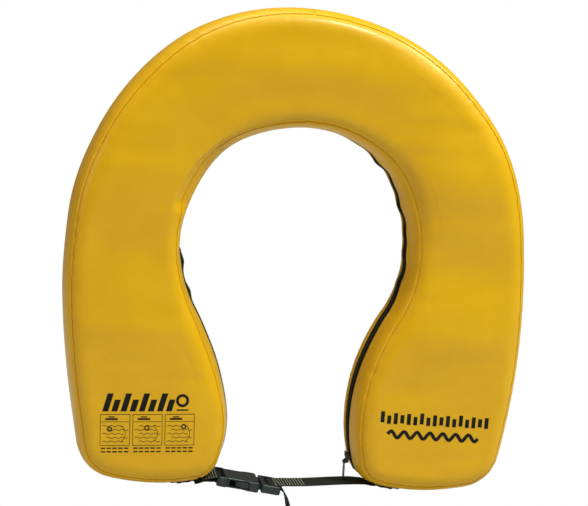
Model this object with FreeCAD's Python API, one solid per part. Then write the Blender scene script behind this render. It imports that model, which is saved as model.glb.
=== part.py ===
import FreeCAD, Part
import math
import os
from FreeCAD import Placement, Rotation, Vector

# Horseshoe rescue buoy: foam slabs in a zipped fabric cover, with a buckled strap across the open end.
# Millimetres and degrees. +Z is up, -Y is the front and +X is to the right, seen from the front.
# The origin is the underside of the arch at mid thickness, where the buoy hangs on a peg.
# "Turn" angles are measured clockwise from +X in the front view.
# An inset is a distance inwards from the cover's widest outline.

# Outline of the right half, clockwise from the crown. Each arc is tangent to the next one.
CROWN_R = 300.0
CROWN_END = -4.4
SIDE_R = 1060.0
SIDE_END = 11.8
OUTER_CORNER_R = 59.0
OUTER_CORNER_END = 76.8
LIMB_END_R = 249.0
LIMB_END_END = 103.9
INNER_CORNER_R = 43.4
INNER_CORNER_END = 167.0
THROAT_R = 245.0
HOLE_R = 151.4

# Cover and foam
THICKNESS = 100.0
EDGE_R = 24.0
SKIN = 1.2
SEAM_INSET = 7.0
GUSSET_JOINT = 113.0
FOAM_GAP = 0.3
SLAB_GAP = 0.2
SLAB_THICKNESS = 32.0

# Zip in the inner gusset
ZIP_Y = 4.0
ZIP_HALF_WINDOW = 13.0
ZIP_START = 127.0
ZIP_SLIT = 0.7
TAPE_THICKNESS = 1.0
COIL_WIDTH = 3.0
COIL_HEIGHT = 1.5
COIL_START = 153.0
STOP_LENGTH_TURN = 5.0
STOP_HEIGHT = 2.4
GROOVE_DEPTH = 5.0
GROOVE_HALF = 8.0

# Zip slider and its pull tab
SLIDER_TURN = 167.6
SLIDER_LENGTH = 15.0
SLIDER_WIDTH = 13.0
WING_THICKNESS = 2.0
WING_CLEAR = 0.35
EAR_THICKNESS = 1.1
TAB_PIVOT_ALONG = -6.0
TAB_PIVOT_OUT = 7.2
PIN_R = 0.8
PIN_FIT = 0.08
TAB_LENGTH = 24.0
TAB_WIDTH = 8.0
TAB_THICKNESS = 1.4

# Strap
WEBBING_WIDTH = 40.0
WEBBING_THICKNESS = 1.5
STRAP_CLEAR = 0.3
STRAP_ROOT_TURN = 98.5
STRAP_TILT = 3.0
PATCH_WIDTH = 46.0
PATCH_THICKNESS = 1.0
PATCH_TURNS = (96.5, 98.2, 99.9, 101.6, 103.3)

# Side-release buckle, in its own frame: x along the strap, y across, z through its thickness
BUCKLE_CENTRE_X = -48.5
BUCKLE_ABOVE_LIMB = 6.2
BUCKLE_SLOPE = 8.5
BUCKLE_TWIST = 5.0
BUCKLE_THICKNESS = 13.0
FEMALE_LEFT = -42.5
FEMALE_RIGHT = 13.5
FEMALE_WIDTH = 50.0
WAIST_WIDTH = 44.0
FEMALE_WALL = 2.2
FEMALE_BAR_X = -39.8
FEMALE_BAR_R = 2.6
CAVITY_LEFT = -29.0
CAVITY_WIDTH = 41.0
WINDOW_LEFT = -26.0
WINDOW_RIGHT = 1.0
MALE_LEFT = 17.0
MALE_RIGHT = 42.5
MALE_WIDTH = 48.0
MALE_THICKNESS = 11.0
RAIL_WIDTH = 3.2
CROSS_BAR = 5.0
LADDER_BAR_X = 31.5
LADDER_BAR_Z = 1.6
LADDER_BAR_R = 2.0
END_BAR_X = 40.5
END_BAR_Z = -1.5
END_BAR_R = 2.0
PRONG_WIDTH = 9.0
ARM_Y = 16.0
ARM_THICKNESS = 4.0
ARM_HEIGHT = 7.0
ARM_PIVOT_X = 14.8
ARM_HEAD_LEFT = -17.0
ARM_HEAD_RIGHT = 0.4
ARM_HEAD_OUT = 23.4
TAIL_GAP = 1.2

TOP_TURN = -90.0
UP = Vector(0, 0, 1)
ACROSS = Vector(0, 1, 0)


def heading(turn):
    """Unit vector in the front view, turned clockwise from +X."""
    angle = math.radians(turn)
    return Vector(math.cos(angle), 0, -math.sin(angle))


def mirrored(point):
    return Vector(-point.x, point.y, point.z)


def outline_centres():
    """Arc centres of the right half. The hole's arc touches the origin from above."""
    crown = Vector(0, 0, 0)
    side = crown - heading(CROWN_END) * (SIDE_R - CROWN_R)
    outer_corner = side + heading(SIDE_END) * (SIDE_R - OUTER_CORNER_R)
    limb_end = outer_corner - heading(OUTER_CORNER_END) * (LIMB_END_R - OUTER_CORNER_R)
    inner_corner = limb_end + heading(LIMB_END_END) * (LIMB_END_R - INNER_CORNER_R)
    throat = inner_corner - heading(INNER_CORNER_END) * (THROAT_R - INNER_CORNER_R)
    reach = THROAT_R + HOLE_R
    hole = Vector(0, 0, throat.z + math.sqrt(reach * reach - throat.x * throat.x))
    shift = Vector(0, 0, -hole.z - HOLE_R)
    names = ("crown", "side", "outer_corner", "limb_end", "inner_corner", "throat", "hole")
    found = (crown, side, outer_corner, limb_end, inner_corner, throat, hole)
    return {name: centre + shift for name, centre in zip(names, found)}


CENTRES = outline_centres()
TO_THROAT = CENTRES["throat"] - CENTRES["hole"]
HOLE_START = math.degrees(math.atan2(-TO_THROAT.z, TO_THROAT.x))
THROAT_END = HOLE_START + 180.0
LIMB_BOTTOM_Z = CENTRES["limb_end"].z - LIMB_END_R

# name, radius of the widest outline, first turn, last turn, and +1 where an inset makes the arc smaller
ARCS = (
    ("crown", CROWN_R, TOP_TURN, CROWN_END, 1),
    ("side", SIDE_R, CROWN_END, SIDE_END, 1),
    ("outer_corner", OUTER_CORNER_R, SIDE_END, OUTER_CORNER_END, 1),
    ("limb_end", LIMB_END_R, OUTER_CORNER_END, LIMB_END_END, 1),
    ("inner_corner", INNER_CORNER_R, LIMB_END_END, INNER_CORNER_END, 1),
    ("throat", THROAT_R, INNER_CORNER_END, THROAT_END, 1),
    ("hole", HOLE_R, HOLE_START, TOP_TURN, -1),
)


def arc_edges(name, radius, first, last, both_sides=True):
    """An arc of the right half and, on request, its mirror image."""
    centre = CENTRES[name]
    points = [centre + heading(turn) * radius for turn in (first, (first + last) / 2.0, last)]
    edges = [Part.Arc(*points).toShape()]
    if both_sides:
        edges.append(Part.Arc(*[mirrored(p) for p in points]).toShape())
    return edges


def face_from(edges, y):
    wire = Part.Wire(Part.__sortEdges__(edges))
    face = Part.Face(wire)
    face.translate(Vector(0, y, 0))
    return face


def horseshoe(inset, y_low, y_high, edge_r=0.0):
    """The whole horseshoe between two Y planes, with its long edges rounded."""
    edges = []
    for name, radius, first, last, sign in ARCS:
        edges += arc_edges(name, radius - sign * inset, first, last)
    body = face_from(edges, y_low).extrude(ACROSS * (y_high - y_low))
    if edge_r:
        flat = [e for e in body.Edges if e.BoundBox.YLength < 1e-3]
        body = body.makeFillet(edge_r, flat)
    return body


def inner_band(inset_out, inset_in, y_low, y_high, start):
    """A strip along the inner edge, from one limb's end round the hole to the other."""
    edges = []
    for inset in (inset_out, inset_in):
        edges += arc_edges("inner_corner", INNER_CORNER_R - inset, start, INNER_CORNER_END)
        edges += arc_edges("throat", THROAT_R - inset, INNER_CORNER_END, THROAT_END)
        edges += arc_edges("hole", HOLE_R + inset, HOLE_START, TOP_TURN)
    a = CENTRES["inner_corner"] + heading(start) * (INNER_CORNER_R - inset_out)
    b = CENTRES["inner_corner"] + heading(start) * (INNER_CORNER_R - inset_in)
    edges.append(Part.makeLine(a, b))
    edges.append(Part.makeLine(mirrored(a), mirrored(b)))
    return face_from(edges, y_low).extrude(ACROSS * (y_high - y_low))


def corner_block(inset_out, inset_in, y_low, y_high, start, end, left):
    """A short strip on the rounded inner corner of one limb."""
    centre = CENTRES["inner_corner"]
    edges = []
    for inset in (inset_out, inset_in):
        edges += arc_edges("inner_corner", INNER_CORNER_R - inset, start, end, both_sides=False)
    for turn in (start, end):
        a = centre + heading(turn) * (INNER_CORNER_R - inset_out)
        b = centre + heading(turn) * (INNER_CORNER_R - inset_in)
        edges.append(Part.makeLine(a, b))
    block = face_from(edges, y_low).extrude(ACROSS * (y_high - y_low))
    if left:
        block = block.mirror(Vector(0, 0, 0), Vector(1, 0, 0))
    return block


def slice_between(y_low, y_high, x_low=-500.0, x_high=500.0):
    """A large box that keeps what lies between two Y planes and two X planes."""
    corner = Vector(x_low, y_low, -800)
    return Part.makeBox(x_high - x_low, y_high - y_low, 1200, corner)


def block(x0, x1, y0, y1, z0, z1):
    return Part.makeBox(x1 - x0, y1 - y0, z1 - z0, Vector(x0, y0, z0))


def bar(x, z, radius, y0, y1):
    """A round bar along Y."""
    return Part.makeCylinder(radius, y1 - y0, Vector(x, y0, z), ACROSS)


def plate(points, y0, y1):
    """An X-Z outline pulled along Y."""
    wire = Part.makePolygon([Vector(x, y0, z) for x, z in points + points[:1]])
    return Part.Face(wire).extrude(ACROSS * (y1 - y0))


def plan(points, z0, z1, corner_r=0.0, edge_r=0.0):
    """An X-Y outline pulled along Z, with its corners and its long edges rounded."""
    wire = Part.makePolygon([Vector(x, y, z0) for x, y in points + points[:1]])
    solid = Part.Face(wire).extrude(UP * (z1 - z0))
    if corner_r:
        upright = [e for e in solid.Edges if abs(e.tangentAt(e.FirstParameter).z) > 0.99]
        solid = solid.makeFillet(corner_r, upright)
    if edge_r:
        flat = [e for e in solid.Edges if e.BoundBox.ZLength < 1e-3]
        solid = solid.makeFillet(edge_r, flat)
    return solid


def placed(shape, placement):
    moved = shape.copy()
    moved.Placement = placement.multiply(moved.Placement)
    return moved


# ---------------------------------------------------------------- cover and foam

def cover_parts():
    """Two panels, two outer gussets, two inner gussets and the zip's end patches."""
    half = THICKNESS / 2.0
    outer = horseshoe(0.0, -half, half, EDGE_R)
    hollow = horseshoe(SKIN, SKIN - half, half - SKIN, EDGE_R - SKIN)
    shell = outer.cut(hollow)
    inside_seam = horseshoe(SEAM_INSET, -half - 1, half + 1)
    panels = shell.common(inside_seam)
    gusset = shell.cut(inside_seam)
    inner_zone = inner_band(-3.0, SEAM_INSET + 3.0, -half - 1, half + 1, GUSSET_JOINT)
    inner = gusset.common(inner_zone)
    outer_gusset = gusset.cut(inner_zone)
    window = inner_band(-4.0, SEAM_INSET + 4.0, ZIP_Y - ZIP_HALF_WINDOW, ZIP_Y + ZIP_HALF_WINDOW, ZIP_START)
    zip_zone = slice_between(ZIP_Y - ZIP_HALF_WINDOW, ZIP_Y + ZIP_HALF_WINDOW)
    patches = inner.common(zip_zone).cut(window)
    return {
        "cover_front_panel": panels.common(slice_between(-half - 1, 0)),
        "cover_back_panel": panels.common(slice_between(0, half + 1)),
        "cover_outer_gusset_left": outer_gusset.common(slice_between(-60, 60, x_high=0.0)),
        "cover_outer_gusset_right": outer_gusset.common(slice_between(-60, 60, x_low=0.0)),
        "cover_inner_gusset_front": inner.common(slice_between(-60, ZIP_Y - ZIP_HALF_WINDOW)),
        "cover_inner_gusset_back": inner.common(slice_between(ZIP_Y + ZIP_HALF_WINDOW, 60)),
        "zip_end_patch_left": patches.common(slice_between(-60, 60, x_high=0.0)),
        "zip_end_patch_right": patches.common(slice_between(-60, 60, x_low=0.0)),
    }


def foam_parts():
    """Three glued foam slabs. The middle one is grooved behind the zip so that the slider runs free."""
    inset = SKIN + FOAM_GAP
    half = THICKNESS / 2.0 - inset
    foam = horseshoe(inset, -half, half, EDGE_R - inset)
    groove = inner_band(0.0, GROOVE_DEPTH, ZIP_Y - GROOVE_HALF, ZIP_Y + GROOVE_HALF, COIL_START - STOP_LENGTH_TURN)
    cut_y = SLAB_THICKNESS / 2.0
    return {
        "foam_slab_front": foam.common(slice_between(-60, -cut_y - SLAB_GAP)),
        "foam_slab_middle": foam.common(slice_between(-cut_y, cut_y)).cut(groove),
        "foam_slab_back": foam.common(slice_between(cut_y + SLAB_GAP, 60)),
    }


# ---------------------------------------------------------------- zip

def zip_parts():
    """Two tapes, a row of coil on each, and the stops that end the coil."""
    parts = {}
    for side, sign in (("front", -1), ("back", 1)):
        near = ZIP_Y + sign * ZIP_SLIT
        tape_edge = ZIP_Y + sign * ZIP_HALF_WINDOW
        coil_edge = ZIP_Y + sign * (ZIP_SLIT + COIL_WIDTH)
        tape_y = sorted((near, tape_edge))
        coil_y = sorted((near, coil_edge))
        parts["zip_tape_" + side] = inner_band(0.0, TAPE_THICKNESS, tape_y[0], tape_y[1], ZIP_START)
        parts["zip_coil_" + side] = inner_band(-COIL_HEIGHT, 0.0, coil_y[0], coil_y[1], COIL_START)
    reach = ZIP_SLIT + COIL_WIDTH + 0.8
    for side in ("left", "right"):
        stop = corner_block(-STOP_HEIGHT, 0.0, ZIP_Y - reach, ZIP_Y + reach,
                            COIL_START - STOP_LENGTH_TURN, COIL_START - 0.3, side == "left")
        parts["zip_stop_" + side] = stop
    return parts


def slider_frame():
    """Frame on the gusset's surface: x up along the zip, y across it, z out of the gusset."""
    out = heading(SLIDER_TURN)
    along = ACROSS.cross(out)
    base = CENTRES["throat"] + out * THROAT_R + ACROSS * ZIP_Y
    return Placement(base, Rotation(along, ACROSS, out, "XYZ"))


def tab_pivot():
    return slider_frame().multVec(Vector(TAB_PIVOT_ALONG, 0, TAB_PIVOT_OUT))


def slider_body():
    """Two wings joined by a thin post between the tapes, with ears and a pin for the tab."""
    half_l = SLIDER_LENGTH / 2.0
    half_w = SLIDER_WIDTH / 2.0
    wing_z = COIL_HEIGHT + WING_CLEAR
    wing_top = wing_z + WING_THICKNESS
    tail = half_w * 0.72
    outline = [(-half_l, -tail), (-half_l + 4, -half_w), (half_l - 3, -half_w), (half_l, -tail),
               (half_l, tail), (half_l - 3, half_w), (-half_l + 4, half_w), (-half_l, tail)]
    slider = plan(outline, wing_z, wing_top, corner_r=0.8, edge_r=0.3)
    flange_in = ZIP_SLIT + COIL_WIDTH + 0.7
    for sign in (-1, 1):
        y = sorted((sign * flange_in, sign * half_w))
        flange = block(-half_l + 4.0, half_l - 3.0, y[0], y[1], WING_CLEAR, wing_z + 0.4)
        slider = slider.fuse(flange)
    back_top = -TAPE_THICKNESS - WING_CLEAR - 0.1
    back_wing = block(-3.0, half_l - 0.5, -half_w + 1, half_w - 1, back_top - 1.2, back_top)
    post = block(1.0, 6.0, -ZIP_SLIT * 0.5, ZIP_SLIT * 0.5, back_top - 0.4, wing_z + 0.4)
    slider = slider.fuse([back_wing, post])
    ear_in = TAB_WIDTH * 0.36 + 0.3
    for sign in (-1, 1):
        y = sorted((sign * ear_in, sign * (ear_in + EAR_THICKNESS)))
        ear = plate([(-half_l, wing_top - 0.5), (-half_l + 0.3, TAB_PIVOT_OUT + 1.5),
                     (TAB_PIVOT_ALONG + 1.6, TAB_PIVOT_OUT + 1.5), (-1.5, wing_top - 0.5)], y[0], y[1])
        slider = slider.fuse(ear)
    pin = bar(TAB_PIVOT_ALONG, TAB_PIVOT_OUT, PIN_R, -ear_in - 0.3, ear_in + 0.3)
    bridge = plate([(-1.6, wing_top - 0.3), (0.2, wing_top + 1.1), (4.6, wing_top + 1.1),
                    (6.4, wing_top - 0.3)], -1.5, 1.5)
    return placed(slider.fuse([pin, bridge]).removeSplitter(), slider_frame())


def pull_tab():
    """A flat tab with an eye round the slider's pin, hanging straight down."""
    pivot = tab_pivot()
    eye_half = TAB_WIDTH * 0.36
    eye_r = 2.1
    tip = pivot.z - TAB_LENGTH
    eye = bar(pivot.x, pivot.z, eye_r, pivot.y - eye_half, pivot.y + eye_half)
    half = TAB_WIDTH / 2.0
    neck = pivot.z - 4.6
    shoulder = neck - 2.4
    outline = [(eye_half, pivot.z - 0.5), (eye_half, neck), (half, shoulder), (half, tip + 2.4),
               (half - 2.4, tip), (2.4 - half, tip), (-half, tip + 2.4), (-half, shoulder),
               (-eye_half, neck), (-eye_half, pivot.z - 0.5)]
    x0 = pivot.x - TAB_THICKNESS / 2.0
    wire = Part.makePolygon([Vector(x0, pivot.y + y, z) for y, z in outline + outline[:1]])
    blade = Part.Face(wire).extrude(Vector(TAB_THICKNESS, 0, 0))
    cord_hole = Part.makeCylinder(1.6, 4, Vector(x0 - 1, pivot.y, tip + 4.2), Vector(1, 0, 0))
    pin_hole = bar(pivot.x, pivot.z, PIN_R + PIN_FIT, pivot.y - 10, pivot.y + 10)
    return eye.fuse(blade).cut(pin_hole).cut(cord_hole).removeSplitter()


# ---------------------------------------------------------------- buckle

def row_frame(x, z, slope, twist):
    """Frame on the strap: x along it, falling to the right by slope; z tips to the front by twist."""
    along = heading(slope)
    level = along.cross(ACROSS)
    angle = math.radians(twist)
    across = ACROSS * math.cos(angle) + level * math.sin(angle)
    return Placement(Vector(x, 0, z), Rotation(along, across, along.cross(across), "XYZ"))


BUCKLE = row_frame(BUCKLE_CENTRE_X, LIMB_BOTTOM_Z + BUCKLE_ABOVE_LIMB, BUCKLE_SLOPE, BUCKLE_TWIST)


def buckle_female():
    """Socket half: a webbing bar, a waisted hollow body with side windows, and a flared mouth."""
    half_t = BUCKLE_THICKNESS / 2.0
    wide = FEMALE_WIDTH / 2.0
    waist = WAIST_WIDTH / 2.0
    right = [(FEMALE_LEFT, wide - 3), (FEMALE_LEFT + 3, wide), (CAVITY_LEFT - 2, wide),
             (CAVITY_LEFT + 1, waist), (WINDOW_RIGHT - 9, waist), (WINDOW_RIGHT - 1, wide),
             (FEMALE_RIGHT - 2, wide), (FEMALE_RIGHT, wide - 2)]
    outline = right + [(x, -y) for x, y in reversed(right)]
    body = plan(outline, -half_t, half_t, corner_r=1.5, edge_r=1.6)
    inner_z = half_t - FEMALE_WALL
    cavity = block(CAVITY_LEFT, FEMALE_RIGHT + 5, -CAVITY_WIDTH / 2.0, CAVITY_WIDTH / 2.0, -inner_z, inner_z)
    windows = block(WINDOW_LEFT, WINDOW_RIGHT, -wide - 5, wide + 5, -inner_z, inner_z)
    slot_half = WEBBING_WIDTH / 2.0 + 1.0
    slot_left = FEMALE_BAR_X - FEMALE_BAR_R
    slot = block(slot_left - 3, CAVITY_LEFT - 2.6, -slot_half, slot_half, -half_t - 1, half_t + 1)
    body = body.cut(cavity).cut(windows).cut(slot)
    webbing_bar = bar(FEMALE_BAR_X, 0, FEMALE_BAR_R, -slot_half - 1, slot_half + 1)
    return placed(body.fuse(webbing_bar), BUCKLE)


def buckle_male_frame():
    """Plug half's fixed part: cross bar with a guide prong, side rails and two webbing bars."""
    half_t = MALE_THICKNESS / 2.0
    half_w = MALE_WIDTH / 2.0
    outline = [(MALE_LEFT, half_w - 1.5), (MALE_LEFT + 1.5, half_w), (MALE_RIGHT - 3, half_w),
               (MALE_RIGHT, half_w - 3)]
    outline = outline + [(x, -y) for x, y in reversed(outline)]
    frame = plan(outline, -half_t, half_t, corner_r=1.0, edge_r=1.5)
    slot_half = half_w - RAIL_WIDTH
    slot = block(MALE_LEFT + CROSS_BAR, MALE_RIGHT + 5, -slot_half, slot_half, -half_t - 1, half_t + 1)
    frame = frame.cut(slot)
    ladder = bar(LADDER_BAR_X, LADDER_BAR_Z, LADDER_BAR_R, -slot_half - 1, slot_half + 1)
    end = bar(END_BAR_X, END_BAR_Z, END_BAR_R, -slot_half - 1, slot_half + 1)
    half_p = PRONG_WIDTH / 2.0
    prong = plan([(-22, half_p - 2.5), (-18, half_p), (MALE_LEFT + 1, half_p), (MALE_LEFT + 1, -half_p),
                  (-18, -half_p), (-22, 2.5 - half_p)], -2.0, 2.0, edge_r=0.6)
    return placed(frame.fuse([ladder, end, prong]), BUCKLE)


def arm_pivot(sign):
    return BUCKLE.multVec(Vector(ARM_PIVOT_X, sign * ARM_Y, 0))


def buckle_arm(sign):
    """Springy side arm: a slim stem and a barbed head that shows in the side window."""
    half_h = ARM_HEIGHT / 2.0
    inner = ARM_Y - ARM_THICKNESS / 2.0
    outer = ARM_Y + ARM_THICKNESS / 2.0
    points = [(ARM_PIVOT_X, inner), (ARM_HEAD_RIGHT, inner), (ARM_HEAD_LEFT, inner - 1.0),
              (ARM_HEAD_LEFT - 3, inner + 1.5), (ARM_HEAD_LEFT, outer + 1.0), (-9.0, ARM_HEAD_OUT),
              (ARM_HEAD_RIGHT, ARM_HEAD_OUT), (ARM_HEAD_RIGHT, outer), (ARM_PIVOT_X, outer)]
    stem = plan([(x, sign * y) for x, y in points], -half_h, half_h, edge_r=0.5)
    root = Part.makeCylinder(ARM_THICKNESS / 2.0, ARM_HEIGHT, Vector(ARM_PIVOT_X, sign * ARM_Y, -half_h), UP)
    return placed(stem.fuse(root).removeSplitter(), BUCKLE)


# ---------------------------------------------------------------- strap

def webbing(placements, width=WEBBING_WIDTH, thickness=WEBBING_THICKNESS):
    """A flat band whose middle follows the given frames."""
    wires = []
    y = width / 2.0
    z = thickness / 2.0
    for placement in placements:
        corners = [Vector(0, -y, -z), Vector(0, y, -z), Vector(0, y, z), Vector(0, -y, z)]
        corners.append(corners[0])
        wires.append(Part.makePolygon([placement.multVec(c) for c in corners]))
    return Part.makeLoft(wires, True, True)


def under_limb(turn, left, clear):
    """Frame under a limb's end, clear of the gusset; slope is the strap's fall to the right."""
    radius = LIMB_END_R + clear
    point = CENTRES["limb_end"] + heading(turn) * radius
    slope = 90.0 - turn
    if left:
        point = mirrored(point)
        slope = -slope
    return row_frame(point.x, point.z, slope, 0.0)


def offset(placement, x, z):
    return placement.multiply(Placement(Vector(x, 0, z), Rotation()))


def wrap(x, z, inner_r, first, last):
    """Webbing bent round a bar, from one angle to another, seen from the front, 90 being the top."""
    outer_r = inner_r + WEBBING_THICKNESS
    middle = (first + last) / 2.0

    def rim(radius, degrees):
        angle = math.radians(degrees)
        return Vector(x + radius * math.cos(angle), -WEBBING_WIDTH / 2.0, z + radius * math.sin(angle))

    edges = [Part.Arc(rim(r, first), rim(r, middle), rim(r, last)).toShape() for r in (inner_r, outer_r)]
    edges += [Part.makeLine(rim(inner_r, a), rim(outer_r, a)) for a in (first, last)]
    face = Part.Face(Part.Wire(Part.__sortEdges__(edges)))
    return placed(face.extrude(ACROSS * WEBBING_WIDTH), BUCKLE)


def strap_left():
    """From under the left limb, over the socket half's bar and back beneath itself."""
    clear = STRAP_CLEAR + PATCH_THICKNESS + STRAP_CLEAR + WEBBING_THICKNESS / 2.0
    run = [under_limb(turn, True, clear) for turn in (STRAP_ROOT_TURN, 101.2, LIMB_END_END)]
    leave = run[-1].Base
    wrap_r = FEMALE_BAR_R + 0.2
    mid_r = wrap_r + WEBBING_THICKNESS / 2.0
    top = offset(BUCKLE, FEMALE_BAR_X, mid_r)
    bottom = offset(BUCKLE, FEMALE_BAR_X, -mid_r)
    rise = top.Base - leave
    run.append(row_frame(leave.x + rise.x * 0.33, leave.z + rise.z * 0.2, -18.0, 2.0))
    run.append(row_frame(leave.x + rise.x * 0.72, leave.z + rise.z * 0.9, -10.0, 7.0))
    crest = run[-1]
    before = run[-2]
    run.append(top)
    gap = WEBBING_THICKNESS + 0.15
    fold = [bottom, offset(crest, 0, -gap - 2.2), offset(before, 0, -gap), offset(before, -11, -gap)]
    over = webbing(run)
    under = webbing(list(reversed(fold)))
    bend = wrap(FEMALE_BAR_X, 0, wrap_r, 90, -90)
    return over.fuse([bend, under])


def ladder_exit():
    """Frame at the plug half's end bar, where the loose tail leaves."""
    lift = END_BAR_R + 0.4 + WEBBING_THICKNESS / 2.0
    return offset(BUCKLE, END_BAR_X, END_BAR_Z + lift)


def strap_right():
    """From under the right limb, over and round the ladder bar, and out over the end bar."""
    clear = STRAP_CLEAR + PATCH_THICKNESS + STRAP_CLEAR + WEBBING_THICKNESS / 2.0
    wrap_r = LADDER_BAR_R + 0.2
    mid_r = wrap_r + WEBBING_THICKNESS / 2.0
    top = offset(BUCKLE, LADDER_BAR_X, LADDER_BAR_Z + mid_r)
    bottom = offset(BUCKLE, LADDER_BAR_X, LADDER_BAR_Z - mid_r)
    limb = [under_limb(turn, False, clear) for turn in (LIMB_END_END, 101.2, STRAP_ROOT_TURN)]
    corner = limb[0].Base
    run = [top, offset(BUCKLE, LADDER_BAR_X + 4.5, LADDER_BAR_Z + mid_r + 0.4)]
    run.append(row_frame(top.Base.x + 14, top.Base.z + 0.4, 0.0, STRAP_TILT))
    run.append(row_frame(top.Base.x + 30, top.Base.z + 0.6, -1.0, STRAP_TILT))
    run.append(row_frame(corner.x - 30, corner.z + 2.2, -1.5, STRAP_TILT))
    run.append(row_frame(corner.x - 14, corner.z + 1.9, 2.0, STRAP_TILT / 2))
    over = webbing(run + limb)
    bend = wrap(LADDER_BAR_X, LADDER_BAR_Z, wrap_r, 90, 270)
    under = webbing([bottom, offset(BUCKLE, LADDER_BAR_X + 3, LADDER_BAR_Z - mid_r + 0.4), ladder_exit()])
    return over.fuse([bend, under])


def tail_pivot():
    return ladder_exit().Base


def strap_tail():
    """The loose end, drooping from the end bar. It is hinged where it leaves the bar."""
    start = ladder_exit()
    x = start.Base.x
    z = start.Base.z
    drops = ((TAIL_GAP, -0.3, 12, BUCKLE_TWIST), (4.5, -2.0, 36, 4), (8.8, -6.2, 53, 3), (12.0, -11.8, 65, 2),
             (14.4, -18.4, 73, 1), (16.2, -25.8, 77, 0), (17.8, -36.0, 80, 0))
    return webbing([row_frame(x + dx, z + dz, slope, twist) for dx, dz, slope, twist in drops])


def anchor_patch(left):
    """Sewn reinforcing patch between a limb's end and its strap."""
    clear = STRAP_CLEAR + PATCH_THICKNESS / 2.0
    frames = [under_limb(turn, left, clear) for turn in PATCH_TURNS]
    return webbing(frames, PATCH_WIDTH, PATCH_THICKNESS)


def strap_parts():
    return {
        "strap_left": strap_left(),
        "strap_right": strap_right(),
        "strap_tail": strap_tail(),
        "strap_patch_left": anchor_patch(True),
        "strap_patch_right": anchor_patch(False),
    }


def buckle_parts():
    return {
        "buckle_female": buckle_female(),
        "buckle_male_frame": buckle_male_frame(),
        "buckle_arm_front": buckle_arm(-1),
        "buckle_arm_back": buckle_arm(1),
    }


def main():
    os.makedirs("parts", exist_ok=True)
    parts = {}
    parts.update(cover_parts())
    parts.update(foam_parts())
    parts.update(zip_parts())
    parts["zip_slider"] = slider_body()
    parts["zip_pull_tab"] = pull_tab()
    parts.update(strap_parts())
    parts.update(buckle_parts())
    for name, shape in parts.items():
        shape.exportStep("parts/" + name + ".step")
        box = shape.BoundBox
        print(f"{name:26s} solids {len(shape.Solids)} valid {shape.isValid()} volume {shape.Volume:12.1f}"
              f"  x {box.XMin:7.1f} {box.XMax:7.1f}  y {box.YMin:6.1f} {box.YMax:6.1f}"
              f"  z {box.ZMin:7.1f} {box.ZMax:7.1f}")
    throat = CENTRES["throat"]
    print("slider axis", throat.x, throat.z, "travel", THROAT_END - SLIDER_TURN)
    print("tab pivot", tab_pivot())
    print("tail pivot", tail_pivot(), "axis", BUCKLE.Rotation.multVec(ACROSS))
    print("arm pivots", arm_pivot(-1), arm_pivot(1), "axis", BUCKLE.Rotation.multVec(UP))
    print("hole centre z", CENTRES["hole"].z, "limb bottom z", LIMB_BOTTOM_Z, "top", CENTRES["crown"].z + CROWN_R)


main()
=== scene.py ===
import math

import bmesh
import bpy
import numpy as np
from mathutils import Matrix, Vector
from mathutils.bvhtree import BVHTree


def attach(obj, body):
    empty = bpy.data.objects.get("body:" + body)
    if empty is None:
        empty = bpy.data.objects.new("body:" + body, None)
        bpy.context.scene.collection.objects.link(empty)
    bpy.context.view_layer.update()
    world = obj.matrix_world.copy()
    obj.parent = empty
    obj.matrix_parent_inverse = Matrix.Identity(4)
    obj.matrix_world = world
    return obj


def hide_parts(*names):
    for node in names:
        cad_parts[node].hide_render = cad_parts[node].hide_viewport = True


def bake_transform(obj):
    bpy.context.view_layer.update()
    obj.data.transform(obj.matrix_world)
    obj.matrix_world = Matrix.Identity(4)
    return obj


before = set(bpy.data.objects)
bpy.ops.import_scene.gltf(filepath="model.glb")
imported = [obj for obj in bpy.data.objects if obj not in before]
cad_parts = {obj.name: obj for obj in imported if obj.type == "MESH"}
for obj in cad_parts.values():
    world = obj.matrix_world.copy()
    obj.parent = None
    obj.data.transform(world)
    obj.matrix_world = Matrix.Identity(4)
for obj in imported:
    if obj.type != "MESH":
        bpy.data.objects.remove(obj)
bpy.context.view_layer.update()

# A horseshoe rescue buoy: foam in a zipped fabric cover, with a buckled strap across the open end.
# Lengths are millimetres unless a name says otherwise. +X is right, -Y front and +Z up, as in the frame.
# "Turn" angles are degrees clockwise from +X in the front view, as in the CAD model.
# An inset is a distance inwards from the cover's widest outline.
MM = 0.001

# Outline of the right half, repeated from the CAD model: its arcs in order, and the turns where they meet
RADII = dict(crown=300.0, side=1060.0, outer_corner=59.0, limb_end=249.0, inner_corner=43.4, throat=245.0,
             hole=151.4)
CROWN_END = -4.4
SIDE_END = 11.8
OUTER_CORNER_END = 76.8
LIMB_END_END = 103.9
INNER_CORNER_END = 167.0
TOP_TURN = -90.0
RIGHT = False
LEFT = True
FACES = (("front", -1.0), ("back", 1.0))

# Stations along the outline
OUTER_MID_TURN = 44.3
INNER_MID_TURN = 135.4
HOLE_SPLIT_TURN = 0.0
ARCH_STEPS = 104
SIDE_STEPS = 80
END_STEPS = 30

# Cross section: a squarish oval from the gusset's crest to the flat face
FACE_Y = 48.7
ROLL_WIDTH = 32.0
SQUARENESS = 3.2
SEAM_INSET = 6.9
CORE_INSET = 36.0
CROWNING = 1.2
CROWNING_WIDTH = 26.0
SKIN = 0.9

# Zip window and joints of the gusset
ZIP_Y = 4.0
ZIP_HALF_WINDOW = 13.0
GUSSET_JOINT = 113.0
ZIP_START = 127.0
COIL_START = 153.0
TAPE_SINK = 0.7
TOOTH_PITCH = 1.9
THREAD_R = 0.28

# Camera: its angles and distance, and how far the middle of the picture lies right of and above the target
CAMERA_YAW = 10.0
CAMERA_PITCH = 5.5
CAMERA_ROLL = 3.2
CAMERA_DISTANCE = 3000.0
CAMERA_LENS = 141.3
CAMERA_TARGET = (0.0, 0.0, -153.2)
AIM_RIGHT = -2.95
AIM_UP = -9.8


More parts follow.
